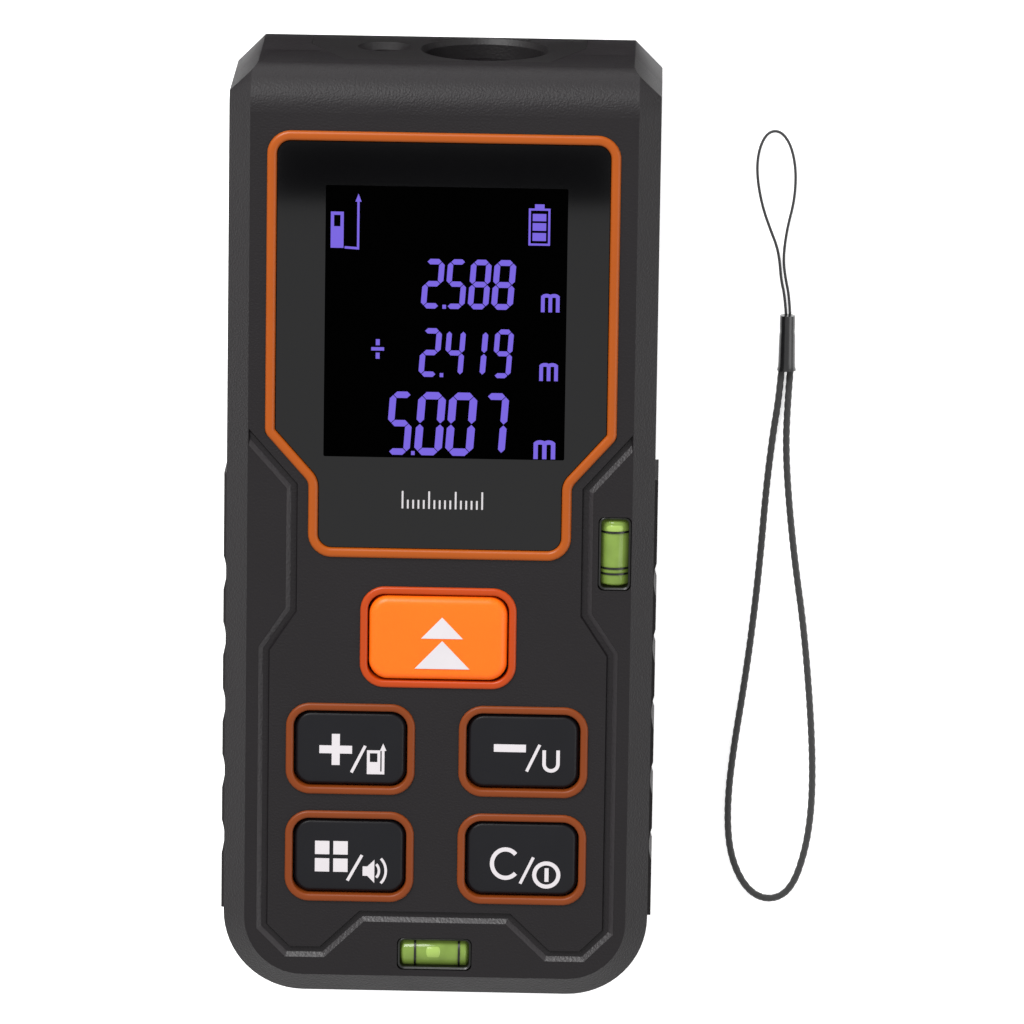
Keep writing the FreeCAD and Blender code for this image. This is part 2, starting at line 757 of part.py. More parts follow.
def make_optics():
    panel = new_body("optics_panel")
    add_prism(panel, optics_outline("0.05"), "-body_length / 2", "optics_wall", "XZ_Plane")
    laser = ("laser_across", "body_length / 2 - 6", "laser_up")
    add_cylinder(panel, laser, "laser_radius", "8", "Y", cut=True)
    add_cone(panel, ("laser_across", "body_length / 2 - 0.8", "laser_up"), "laser_radius",
             "laser_radius + 1", "0.81", "Y", cut=True)
    receiver = ("receiver_across", "body_length / 2 - 6", "receiver_up")
    add_cylinder(panel, receiver, "receiver_radius", "8", "Y", cut=True)
    add_cone(panel, ("receiver_across", "body_length / 2 - 0.7", "receiver_up"), "receiver_radius",
             "receiver_radius + 0.4", "0.71", "Y", cut=True)

    chassis = new_body("optics_chassis")
    back = "body_length / 2 - optics_wall - optics_back_gap"
    add_box(chassis, ("-chassis_half", "chassis_foot", "chassis_low"),
            ("2 * chassis_half", back + " - chassis_foot", "chassis_height"))
    add_cylinder(chassis, ("laser_across", "16", "laser_up"), "module_radius + 0.05", "50", "Y", cut=True)
    add_cylinder(chassis, ("receiver_across", "22", "receiver_up"), "receiver_radius - 1.1",
                 "40", "Y", cut=True)
    add_cylinder(chassis, ("receiver_across", "16", "receiver_up"), "1.5", "10", "Y", cut=True)

    window = new_body("laser_window")
    add_cylinder(window, ("laser_across", "body_length / 2 - 2", "laser_up"), "laser_radius", "0.8", "Y")
    lens = new_body("receiver_lens")
    rim = "body_length / 2 - optics_wall"
    add_cylinder(lens, ("receiver_across", rim, "receiver_up"), "receiver_radius - 0.02", "lens_edge", "Y")
    add_cone(lens, ("receiver_across", rim + " + lens_edge", "receiver_up"),
             "receiver_radius - 0.02", "receiver_radius - 3.5", "lens_crown", "Y")
    barrel = new_body("laser_module")
    add_cylinder(barrel, ("laser_across", "module_foot", "laser_up"), "module_radius",
                 "body_length / 2 - optics_wall - 0.6 - module_foot", "Y")
    add_cylinder(barrel, ("laser_across", "module_foot + 1.5", "laser_up"), "module_radius - 1",
                 "body_length / 2 - 30", "Y", cut=True)
    collimator = new_body("collimator_lens")
    add_cylinder(collimator, ("laser_across", "collimator_along", "laser_up"), "module_radius - 1.02",
                 "collimator_thickness", "Y")
    receiver_board = new_body("receiver_board")
    add_box(receiver_board, ("-11", "16.4", "3"), ("23", "1.4", "12.5"))
    sensor = new_body("light_sensor")
    add_cylinder(sensor, ("receiver_across", "17.85", "receiver_up"), "1.4", "2.6", "Y")


def make_vial(name, spot, along):
    """A clear block with a bore, the fluid that fills it and the bubble that travels in the fluid."""
    across_centre, along_centre = spot
    sizes = ("vial_wide - 0.1", "vial_long - 0.1") if along == "Y" else ("vial_long - 0.1", "vial_wide - 0.1")
    block = new_body(name + "_vial")
    low = ("%s - (%s) / 2" % (across_centre, sizes[0]), "%s - (%s) / 2" % (along_centre, sizes[1]),
           "vial_top - vial_deep")
    add_rounded_box(block, low, sizes + ("vial_deep",), "0.65")
    middle_up = "vial_top - fluid_radius - 0.35"

    def start_at(back_off, up):
        if along == "Y":
            return (across_centre, "%s - (%s)" % (along_centre, back_off), up)
        return ("%s - (%s)" % (across_centre, back_off), along_centre, up)
    add_cylinder(block, start_at("fluid_length / 2", middle_up), "fluid_radius", "fluid_length",
                 along, cut=True)
    fluid = new_body(name + "_vial_fluid")
    add_cylinder(fluid, start_at("fluid_length / 2", middle_up), "fluid_radius - 0.01", "fluid_length", along)
    channel_up = "vial_top - 0.5 - bubble_radius"
    add_cylinder(fluid, start_at("fluid_length / 2 - 0.2", channel_up), "bubble_radius + 0.12",
                 "fluid_length - 0.4", along, cut=True)
    return start_at, channel_up


def make_vials():
    start_at, channel_up = make_vial("side", ("side_vial_across", "side_vial_along"), "Y")
    bubble = new_body("side_bubble")
    add_cylinder(bubble, start_at("-1.3", channel_up), "bubble_radius", "2.4", "Y")
    start_at, channel_up = make_vial("foot", ("0", "foot_vial_along"), "X")
    bubble = new_body("foot_bubble")
    add_cylinder(bubble, start_at("1.45", channel_up), "bubble_radius", "2.2", "X")


def make_battery_parts():
    door = new_body("battery_door")
    half = "bay_half_width + door_ledge - door_gap"
    head = "bay_head + door_ledge - door_gap"
    add_rounded_box(door, ("-(%s)" % half, DOOR_HINGE, "0"),
                    ("2 * (%s)" % half, "%s - (%s)" % (head, DOOR_HINGE), "door_thickness"), "1.4")
    add_cylinder(door, ("-(%s) + 1.4" % half, DOOR_HINGE, "door_thickness / 2"), "door_thickness / 2",
                 "2 * (%s) - 2.8" % half, "X")
    add_cylinder(door, ("-(%s) - hinge_pin_reach" % half, DOOR_HINGE, "door_thickness / 2"),
                 "hinge_pin_radius", "2 * (%s) + 2 * hinge_pin_reach" % half, "X")
    for step in range(4):
        groove = ("-5 + %s" % (step * 0.4), "bay_head - 6 + %s" % (step * 1.3), "-0.2")
        add_box(door, groove, ("10 - %s" % (step * 0.8), "0.6", "0.5"), cut=True)
    pad = new_body("battery_pad")
    add_box(pad, ("-8", "bay_foot + 16", "door_thickness"), ("16", "16", "0.5"))

    lower = new_body("spring_contacts")
    strip = ("2 * bay_half_width - 1", "contact_thickness", "contact_height")
    add_box(lower, ("-bay_half_width + 0.5", "bay_foot", "contact_low"), strip)
    for across in ("-cell_pitch / 2", "cell_pitch / 2"):
        add_cone(lower, (across, "bay_foot + contact_thickness", "cell_up"), "3.2", "1.8",
                 "spring_length", "Y")
    upper = new_body("plate_contacts")
    add_box(upper, ("-bay_half_width + 0.5", "bay_head - contact_thickness", "contact_low"), strip)
    for across in ("-cell_pitch / 2", "cell_pitch / 2"):
        reach = "bay_head - contact_thickness - (%s + cell_length)" % CELL_FOOT
        add_cylinder(upper, (across, CELL_FOOT + " + cell_length", "cell_up"), "2", reach, "Y")


def corner_radius(before, corner, after):
    """Radius of the arc that rounds one corner of a route."""
    first = corner - before
    last = after - corner
    half_turn = first.getAngle(last) / 2
    return 0.45 * min(first.Length, last.Length) / math.tan(half_turn)


def tube_path(points):
    """Straight runs joined by tangent arcs."""
    edges = []
    radii = []
    start = points[0]
    for before, corner, after in zip(points, points[1:], points[2:]):
        toward = (before - corner).normalize()
        away = (after - corner).normalize()
        radius = corner_radius(before, corner, after)
        radii += [radius]
        half_turn = (corner - before).getAngle(after - corner) / 2
        reach = radius * math.tan(half_turn)
        entry = corner + toward * reach
        leave = corner + away * reach
        inward = (toward + away).normalize()
        centre = corner + inward * math.hypot(radius, reach)
        middle = centre - inward * radius
        edges += [Part.LineSegment(start, entry).toShape(), Part.Arc(entry, middle, leave).toShape()]
        start = leave
    edges += [Part.LineSegment(start, points[-1]).toShape()]
    return Part.Wire(edges), radii


def make_cord(name, route, thickness):
    """A plain round tube along a route on the table."""
    radius = float(sheet.get(thickness)) / 2
    points = [FreeCAD.Vector(x, y, radius) for x, y in route]
    path, radii = tube_path(points)
    circle = Part.Wire([Part.Circle(points[0], points[1] - points[0], radius).toShape()])
    solid = path.makePipeShell([circle], True, False)
    expected = math.pi * radius ** 2 * path.Length
    if abs(solid.Volume / expected - 1) > 0.01:
        raise RuntimeError("%s volume %.3f, expected %.3f" % (name, solid.Volume, expected))
    print("%s length %.1f, radii %.2f to %.2f" % (name, path.Length, min(radii), max(radii)))
    cord = doc.addObject("Part::Feature", name)
    cord.Shape = solid
    cord.Placement = FreeCAD.Placement()
    cord.Label = name
    subparts.append(cord)


def make_strap():
    make_cord("strap_cord", STRAP_ROUTE, "strap_thickness")
    make_cord("strap_string", STRING_ROUTE, "string_thickness")
    sleeve = new_body("strap_sleeve")
    add_cone(sleeve, ("sleeve_across", "sleeve_foot", "sleeve_foot_radius"), "sleeve_foot_radius",
             "sleeve_head_radius", "sleeve_length", "Y")
    tail = value("sleeve_foot") + value("sleeve_length")
    dress(sleeve, "Fillet", lambda edge: edge.BoundBox.YMin > tail - 1e-3, "0.3")


def check_and_export():
    """Stop at any failed object, then write one STEP file for each sub-part."""
    doc.recompute()
    for item in doc.Objects:
        if "Invalid" in item.State or "Error" in item.State:
            raise RuntimeError("%s failed: %s" % (item.Label, item.State))
    os.makedirs("parts", exist_ok=True)
    for item in subparts:
        if item.Shape.isNull() or not item.Shape.isValid():
            raise RuntimeError("%s has no valid shape" % item.Label)
    for item in subparts:
        item.Shape.exportStep("parts/%s.step" % item.Label)
        box = item.Shape.BoundBox
        print("%-18s solids %d volume %9.2f  x %.2f..%.2f y %.2f..%.2f z %.2f..%.2f" % (
            item.Label, len(item.Shape.Solids), item.Shape.Volume, box.XMin, box.XMax,
            box.YMin, box.YMax, box.ZMin, box.ZMax))


fill_sheet()
make_front_cover()
make_rear_cover()
make_strap_pin()
make_rear_label()
make_grip("left_grip", -1)
make_grip("right_grip", 1)
make_screen_parts()
for key_name in KEY_SPOTS:
    make_key(key_name)
    make_key_ring(key_name)
fuse_copies("tactile_switches", make_switch, KEY_SPOTS.values())
fuse_copies("housing_screws", make_screw, SCREW_SPOTS)
fuse_copies("batteries", make_cell, [("-cell_pitch / 2", "0"), ("cell_pitch / 2", "0")])
make_boards()
make_optics()
make_vials()
make_battery_parts()
make_strap()
check_and_export()
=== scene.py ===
import math

import bmesh
import bpy
import numpy as np
from mathutils import Matrix, Vector


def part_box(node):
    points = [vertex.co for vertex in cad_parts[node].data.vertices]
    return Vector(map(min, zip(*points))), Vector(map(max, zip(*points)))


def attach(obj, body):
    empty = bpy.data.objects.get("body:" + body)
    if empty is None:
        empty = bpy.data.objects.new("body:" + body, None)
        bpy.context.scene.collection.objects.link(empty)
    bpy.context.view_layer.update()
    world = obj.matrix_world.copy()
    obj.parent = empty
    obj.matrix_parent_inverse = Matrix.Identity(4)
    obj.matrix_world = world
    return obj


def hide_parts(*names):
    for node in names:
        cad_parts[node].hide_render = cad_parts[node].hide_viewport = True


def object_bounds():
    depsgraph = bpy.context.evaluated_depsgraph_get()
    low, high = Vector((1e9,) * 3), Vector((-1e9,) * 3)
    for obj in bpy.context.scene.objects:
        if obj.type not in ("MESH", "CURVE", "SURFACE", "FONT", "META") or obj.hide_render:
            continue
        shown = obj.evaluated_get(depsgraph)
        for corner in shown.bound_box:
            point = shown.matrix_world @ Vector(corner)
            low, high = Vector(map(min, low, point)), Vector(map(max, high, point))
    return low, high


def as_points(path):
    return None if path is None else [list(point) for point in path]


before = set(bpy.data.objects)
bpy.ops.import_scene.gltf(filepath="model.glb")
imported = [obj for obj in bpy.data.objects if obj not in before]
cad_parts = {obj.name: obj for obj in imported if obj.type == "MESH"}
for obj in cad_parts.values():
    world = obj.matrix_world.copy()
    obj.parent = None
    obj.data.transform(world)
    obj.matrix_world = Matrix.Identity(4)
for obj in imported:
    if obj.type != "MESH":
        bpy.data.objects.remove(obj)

# Laser distance meter lying on its back, with its hand strap beside it. Sizes named in
# millimetres are turned to metres by MM; everything stands in the frame of the CAD model.

MM = 0.001
CAD_BOX = [list(corner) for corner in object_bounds()]


def box_mm(name):
    """Lowest and highest corner of a CAD node, in millimetres."""
    low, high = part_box(name)
    return np.array(low) / MM, np.array(high) / MM


# ---------------------------------------------------------------- camera

CAMERA_YAW = 0.985
CAMERA_PITCH = 12.902
CAMERA_ROLL = 0.83
CAMERA_DISTANCE = 1098.95
CAMERA_TARGET = (8.874, 3.579, 26.5)
CAMERA_LENS = 314.0


def place_camera():
    """Looks down on the key face from a long way off, leaning a little to the laser end."""
    yaw, pitch, roll = np.radians([CAMERA_YAW, CAMERA_PITCH, CAMERA_ROLL])
    back = Vector((math.sin(yaw) * math.cos(pitch), math.sin(pitch), math.cos(yaw) * math.cos(pitch)))
    right = Vector((0, 1, 0)).cross(back).normalized()
    up = back.cross(right)
    rolled_right = right * math.cos(roll) + up * math.sin(roll)
    rolled_up = up * math.cos(roll) - right * math.sin(roll)
    lens = bpy.data.cameras.new("camera")
    lens.lens = CAMERA_LENS
    lens.sensor_width = 36
    lens.clip_start = 0.05
    camera = bpy.data.objects.new("camera", lens)
    bpy.context.scene.collection.objects.link(camera)
    turned = Matrix((rolled_right, rolled_up, back)).transposed().to_4x4()
    spot = (Vector(CAMERA_TARGET) + back * CAMERA_DISTANCE) * MM
    camera.matrix_world = Matrix.Translation(spot) @ turned
    bpy.context.scene.camera = camera
    return camera


camera = place_camera()


# ---------------------------------------------------------------- materials: helpers

def linear(code):
    """The linear colour of an sRGB hex code."""
    values = np.array([int(code[at:at + 2], 16) for at in (1, 3, 5)]) / 255
    return (*np.where(values <= 0.04045, values / 12.92, ((values + 0.055) / 1.055) ** 2.4), 1.0)


def node(tree, kind, inputs=None, **settings):
    """Add a node, with its settings, and fill its inputs with values or with links."""
    made = tree.nodes.new("ShaderNode" + kind)
    for name, setting in settings.items():
        setattr(made, name, setting)
    for socket, content in (inputs or {}).items():
        if isinstance(content, bpy.types.NodeSocket):
            tree.links.new(content, made.inputs[socket])
        else:
            made.inputs[socket].default_value = content
    return made


def finish(name, colour, roughness, grain_mm, depth_mm, shade=0.12, patch_mm=9.0,
           stretch=(1, 1, 1), **sockets):
    """A surface whose colour and roughness drift over patches of patch_mm, under a fine relief
    of grain_mm and depth_mm. stretch draws the relief out along an axis, as brushing does."""
    material = bpy.data.materials.new(name)
    material.use_nodes = True
    tree = material.node_tree
    shader = tree.nodes["Principled BSDF"]
    for socket, content in sockets.items():
        shader.inputs[socket.replace("_", " ")].default_value = content
    place = node(tree, "TexCoord").outputs["Object"]
    drawn = node(tree, "Mapping", {"Vector": place, "Scale": stretch}).outputs["Vector"]
    patches = node(tree, "TexNoise", {"Vector": place, "Scale": 1 / (patch_mm * MM), "Detail": 3.0})
    grain = node(tree, "TexNoise", {"Vector": drawn, "Scale": 1 / (grain_mm * MM), "Detail": 2.0})
    base = np.array(linear(colour)[:3])
    tint = node(tree, "MixRGB", {"Fac": patches.outputs["Fac"],
                                 "Color1": (*base * (1 - shade), 1), "Color2": (*base * (1 + shade), 1)})
    drift = node(tree, "MapRange", {"Value": patches.outputs["Fac"],
                                    "To Min": roughness * 0.88, "To Max": min(roughness * 1.12, 1)})
    relief = node(tree, "Bump", {"Height": grain.outputs["Fac"], "Distance": depth_mm * MM})
    tree.links.new(tint.outputs["Color"], shader.inputs["Base Color"])
    tree.links.new(drift.outputs["Result"], shader.inputs["Roughness"])
    tree.links.new(relief.outputs["Normal"], shader.inputs["Normal"])
    return material


def glowing(material, colour, strength):
    """Adds an even glow: the backlight on the display, an even brightness on the floor, and painted light
    on the vial spirit and bubble.
    """
    shader = material.node_tree.nodes["Principled BSDF"]
    shader.inputs["Emission Color"].default_value = linear(colour)
    shader.inputs["Emission Strength"].default_value = strength
    return material


# ---------------------------------------------------------------- materials: the meter's own

# ABS from a spark-eroded mould: a matt charcoal that sparkles where the light rakes it. The grain
# is drawn at 0.25 mm, coarser than a real one, so that it shows.
ABS_CHARCOAL = finish("abs_spark_textured", "#171416", 0.50, 0.25, 0.07, 0.10, 14, Specular_IOR_Level=0.26)
# The sloped edge of the face groove, a little brighter than the face: a painted highlight on the slope.
ABS_EDGE_PAINTED_HIGHLIGHT = finish("abs_groove_edge_painted_highlight", "#282527", 0.42, 0.30, 0.07, 0.15, 6, Specular_IOR_Level=0.42)
# The same ABS from other moulds, a touch paler and rougher.
ABS_BACK = finish("abs_back_moulding", "#1D1A1C", 0.53, 0.42, 0.06, 0.10, 16, Specular_IOR_Level=0.26)
ABS_DOOR = finish("abs_door_moulding", "#1B191A", 0.54, 0.46, 0.06, 0.09, 12, Specular_IOR_Level=0.26)
# Thermoplastic elastomer: softer and duller than the ABS, with a dusty bloom.
ELASTOMER = finish("tpe_side_grip", "#242122", 0.72, 0.30, 0.03, 0.14, 8, Sheen_Weight=0.06,
                   Sheen_Roughness=0.5, Specular_IOR_Level=0.35)
# Orange ABS, satin, moulded smooth.
ABS_ORANGE = finish("abs_orange_satin", "#9C4806", 0.36, 0.8, 0.006, 0.06, 10, Specular_IOR_Level=0.3)
# The small rings are a darker orange than the trim, as painted shade on their sloped walls.
ABS_ORANGE_PAINTED_SHADE = finish("abs_orange_painted_shade", "#75340C", 0.42, 0.8, 0.008, 0.08, 8, Specular_IOR_Level=0.25)
ABS_MEASURE_RING = finish("abs_deep_orange", "#AA3B02", 0.36, 0.8, 0.006, 0.06, 8, Specular_IOR_Level=0.3)
# Silicone rubber keys: smooth and faintly waxy, with a soft highlight.
SILICONE_BLACK = finish("silicone_black_key", "#111115", 0.38, 0.25, 0.006, 0.10, 5,
                        Specular_IOR_Level=0.24)
SILICONE_ORANGE = finish("silicone_orange_key", "#F86A0C", 0.38, 0.25, 0.006, 0.04, 7,
                         Subsurface_Weight=0.08, Subsurface_Scale=0.001, Specular_IOR_Level=0.3)
# White ink rubbed into the keys: flat, a little chalky.
KEY_INK = finish("white_key_ink", "#C8C3C6", 0.55, 0.12, 0.004, 0.03, 3)
MARK_INK = finish("grey_window_ink", "#B9B6B8", 0.5, 0.12, 0.003, 0.03, 3)
# Tinted acrylic window: black behind, and a clean hard reflection in front.
WINDOW_ACRYLIC = finish("acrylic_black_backed", "#060607", 0.05, 6, 0.0006, 0.2, 20, IOR=1.49)
# The dark of the lit display, whose polariser swallows reflections.
DISPLAY_DARK = finish("display_polariser", "#010101", 0.6, 0.2, 0.001, 0.2, 5, Specular_IOR_Level=0.0)
DISPLAY_SEGMENT = glowing(finish("display_segment", "#15122A", 0.6, 0.2, 0.001, 0.05, 5,
                                 Specular_IOR_Level=0.04), "#7864DC", 1.0)
# Dyed spirit in a clear tube: yellow-green, its tone drifting in small patches, with a faint painted glow
# that stands in for light through the tube.
VIAL_SPIRIT_PAINTED_GLOW = glowing(finish("dyed_vial_spirit_painted_glow", "#6E863C", 0.14, 1.6, 0.004, 0.26, 1.9, IOR=1.45,
                             Specular_IOR_Level=0.35), "#7E9640", 0.10)
VIAL_LINE = finish("black_vial_paint", "#0C0E0A", 0.4, 0.2, 0.004, 0.1, 3)
# The air bubble: a lighter green, with a faint painted glow for the light through it.
VIAL_AIR_PAINTED_GLOW = glowing(finish("vial_air_bubble_painted_glow", "#8EA854", 0.16, 1.0, 0.002, 0.1, 1.2,
                          Specular_IOR_Level=0.3), "#A6C05C", 0.10)
# The vial wells: near black, darker than the housing, as painted shade in the recess.
VIAL_WELL_PAINTED_SHADE = finish("abs_vial_well_painted_shade", "#0B0C0A", 0.35, 0.4, 0.01, 0.15, 4)
# Optics end: black ABS, a dark coated lens and a laser window.
ABS_OPTICS = finish("abs_optics_black", "#1A1819", 0.48, 0.30, 0.05, 0.1, 10, Specular_IOR_Level=0.3)
LENS_COATED = finish("acrylic_lens_coated", "#0A0709", 0.22, 3, 0.0004, 0.3, 9, Specular_IOR_Level=0.06,
                     Specular_Tint=linear("#B090B8"))
GLASS_WINDOW = finish("glass_laser_window", "#2A0C10", 0.03, 3, 0.0004, 0.2, 6, Coat_Weight=1.0, IOR=1.52)
BORE_DARK = finish("abs_bore_black", "#070707", 0.5, 0.5, 0.02, 0.1, 6)
# Metals.
STEEL_ZINC = finish("steel_zinc_plated", "#A9A9AC", 0.30, 0.15, 0.004, 0.08, 3, (1, 1, 6), Metallic=1.0)
STEEL_NICKEL = finish("steel_nickel_plated", "#B8B4AA", 0.24, 0.2, 0.003, 0.06, 4, Metallic=1.0)
BRASS_TURNED = finish("brass_turned", "#B98F46", 0.28, 0.12, 0.003, 0.06, 4, (1, 8, 1), Metallic=1.0)
# Electronics and the rest inside.
FR4_GREEN = finish("fr4_solder_mask", "#0E4425", 0.32, 0.6, 0.01, 0.12, 5, Coat_Weight=0.3)
EPOXY_CHIP = finish("epoxy_chip_body", "#101011", 0.55, 0.12, 0.006, 0.08, 3)
ACRYLIC_FROSTED = finish("acrylic_frosted", "#C6C8D8", 0.55, 0.2, 0.01, 0.05, 6, Transmission_Weight=0.2)
NYLON_BLACK = finish("nylon_glass_filled", "#1B1B1C", 0.5, 0.3, 0.015, 0.1, 5)
SILICONE_GREY = finish("silicone_sheet_grey", "#4A4A4B", 0.6, 0.3, 0.006, 0.08, 8)
CELL_WRAP = finish("pvc_cell_sleeve", "#2E3A4E", 0.3, 1.0, 0.004, 0.15, 12, Coat_Weight=0.4)
FOAM_BLACK = finish("pe_foam_black", "#141414", 0.9, 0.35, 0.06, 0.15, 3)
ACRYLIC_CLEAR = finish("acrylic_clear_block", "#B9D6A0", 0.06, 2, 0.001, 0.1, 5, Transmission_Weight=0.5)
# Polyester label film: pale grey, faintly satin.
LABEL_FILM = finish("polyester_label_film", "#B9B9BA", 0.42, 0.15, 0.002, 0.04, 12)
LABEL_INK = finish("grey_label_ink", "#3A3A3C", 0.5, 0.12, 0.002, 0.05, 4)
SEAM_SHADOW = finish("abs_parting_line", "#0A090A", 0.7, 0.3, 0.005, 0.1, 5)
# Strap: braided polyester cord, twisted nylon string and a glossy vinyl sleeve.
BRAID = finish("polyester_braid", "#303030", 0.78, 0.10, 0.03, 0.30, 0.9, Sheen_Weight=0.25,
               Sheen_Roughness=0.45)
STRING = finish("nylon_string", "#262628", 0.7, 0.09, 0.02, 0.25, 0.8, Sheen_Weight=0.2)
VINYL_SLEEVE = finish("vinyl_sleeve", "#161617", 0.24, 0.5, 0.008, 0.12, 3, Coat_Weight=0.3)


# ---------------------------------------------------------------- meshes: helpers

def mesh_piece(name, parts, material, body, stands_for=(), smooth_angle=40):
    """Join parts, each its points in millimetres and its arrays of faces, into one piece on a body."""
    starts = np.cumsum([0] + [len(points) for points, _ in parts])
    faces = [face for start, (_, groups) in zip(starts, parts) for group in groups
             for face in (np.asarray(group) + start).tolist()]
    mesh = bpy.data.meshes.new(name)
    mesh.from_pydata((np.concatenate([points for points, _ in parts]) * MM).tolist(), [], faces)
    shell = bmesh.new()
    shell.from_mesh(mesh)
    bmesh.ops.recalc_face_normals(shell, faces=shell.faces)
    shell.to_mesh(mesh)
    shell.free()
    mesh.shade_smooth()
    mesh.set_sharp_from_angle(angle=math.radians(smooth_angle))
    mesh.materials.append(material)
    piece = bpy.data.objects.new(name, mesh)
    bpy.context.scene.collection.objects.link(piece)
    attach(piece, body)
    if stands_for:
        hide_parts(*stands_for)
    return piece


def skin(rings, joined=False):
    """Quads between closed rings of points. Each end closes in a fan on the middle of its ring,
    or, where joined, the last ring meets the first."""
    rings = np.asarray(rings, float)
    rows, columns = rings.shape[:2]
    index = np.arange(rows * columns).reshape(rows, columns)
    if joined:
        index = np.vstack([index, index[:1]])
    here, there = index[:-1], index[1:]
    quads = np.stack([here, np.roll(here, -1, 1), np.roll(there, -1, 1), there], -1).reshape(-1, 4)
    points = rings.reshape(-1, 3)
    if joined:
        return points, [quads]
    fans = [np.stack([row, np.roll(row, -1), np.full(columns, rows * columns + number)], -1)
            for number, row in enumerate((index[0], index[-1]))]
    return np.vstack([points, rings[[0, -1]].mean(1)]), [quads, *fans]


def unit(vectors):
    return vectors / np.linalg.norm(vectors, axis=-1, keepdims=True)


def rounded_outline(corners, radii, steps=8):
    """Points round a polygon whose corners are arcs, with the outward direction at each. An arc's
    centre lies on its corner's bisector, radius / sin(half the corner) in from the corner."""
    corners = np.array(corners, float)
    radii = np.broadcast_to(np.asarray(radii, float), len(corners))[:, None]
    back = unit(np.roll(corners, 1, 0) - corners)
    ahead = unit(np.roll(corners, -1, 0) - corners)
    half = 0.5 * np.arccos(np.clip((back * ahead).sum(1), -1, 1))[:, None]
    centre = corners + unit(back + ahead) * radii / np.sin(half)
    first = unit(corners + back * radii / np.tan(half) - centre)
    last = unit(corners + ahead * radii / np.tan(half) - centre)
    share = np.linspace(0, 1, steps + 1)[None, :, None]
    spokes = unit(first[:, None] * (1 - share) + last[:, None] * share)
    points = centre[:, None] + spokes * radii[:, None]
    x, y = corners.T
    area = (x * np.roll(y, -1) - np.roll(x, -1) * y).sum()
    bend = back[:, 0] * ahead[:, 1] - back[:, 1] * ahead[:, 0]
    outward = np.where(bend * area < 0, 1.0, -1.0)[:, None, None]
    return points.reshape(-1, 2), (spokes * outward).reshape(-1, 2)


def level(height):
    """A flat surface, as a function of x and y that gives its height."""
    return lambda x, y: np.full_like(x, height)


def rectangle(centre, half_width, half_length):
    x, y = centre
    return [(x - half_width, y - half_length), (x + half_width, y - half_length),
            (x + half_width, y + half_length), (x - half_width, y + half_length)]


def lifted(points, height):
    """Flat points at a height, which is one number or one for each point."""
    return np.column_stack([points, np.broadcast_to(height, len(points))])


def carry(outline, profile, joined=True):
    """A profile of (offset outwards, height) carried round an outline."""
    points, outward = outline
    return skin([lifted(points + outward * offset, height) for offset, height in profile], joined)


def band_profile(inner, outer, low, top, bevel):
    """Section of a raised band: square below, with both top edges rounded to bevel."""
    turn = np.radians([0, 30, 60, 90])
    rise = top - bevel + bevel * np.sin(turn)
    out_edge = outer - bevel + bevel * np.cos(turn)
    in_edge = inner + bevel - bevel * np.cos(turn)
    return [(inner, low), (outer, low), *zip(out_edge, rise), *zip(in_edge[::-1], rise[::-1])]


def plate(corners, height_of, thick=0.05):
    """A flat tile whose top lies thick above the surface height_of(x, y), sunk as much below."""
    corners = np.array(corners, float)
    height = height_of(corners[:, 0], corners[:, 1])
    count = len(corners)
    points = np.vstack([lifted(corners, height - thick), lifted(corners, height + thick)])
    low = np.arange(count)
    sides = np.stack([low, np.roll(low, -1), np.roll(low, -1) + count, low + count], -1)
    return points, [sides, low[None, ::-1], low[None] + count]


def stroke(path, width, height_of, closed=False, thick=0.05):
    """A line of one width along a path. At each point the sides stand off half the width,
    divided by the cosine of half the turn, so that corners keep the width."""
    path = np.array(path, float)
    into = unit(path - np.roll(path, 1, 0))
    out_of = unit(np.roll(path, -1, 0) - path)
    if not closed:
        into[0], out_of[-1] = out_of[0], into[-1]
    mean = unit(into + out_of)
    across = np.column_stack([-mean[:, 1], mean[:, 0]]) / (mean * into).sum(1)[:, None] * width / 2
    left, right = path + across, path - across
    left_height, right_height = height_of(*left.T), height_of(*right.T)
    rings = np.stack([lifted(left, left_height - thick), lifted(right, right_height - thick),
                      lifted(right, right_height + thick), lifted(left, left_height + thick)], 1)
    return skin(rings, closed)


def arc(centre, radii, start, end, steps=20):
    """Points on an ellipse between two angles in degrees."""
    turn = np.radians(np.linspace(start, end, steps + 1))
    return np.column_stack([centre[0] + radii[0] * np.cos(turn), centre[1] + radii[1] * np.sin(turn)])


def revolve(centre, profile, along="Y", steps=48, joined=False):
    """A profile of (distance along, radius) turned round an axis through centre. Joined, it is a hoop."""
    turn = np.linspace(0, 2 * np.pi, steps, endpoint=False)
    rings = []
    for reach, radius in profile:
        wide, tall = radius * np.cos(turn), radius * np.sin(turn)
        far = np.full(steps, reach)
        ring = {"X": (far, wide, tall), "Y": (wide, far, tall), "Z": (wide, tall, far)}[along]
        rings += [np.column_stack(ring) + centre]
    return skin(rings, joined)


# ---------------------------------------------------------------- hand strap

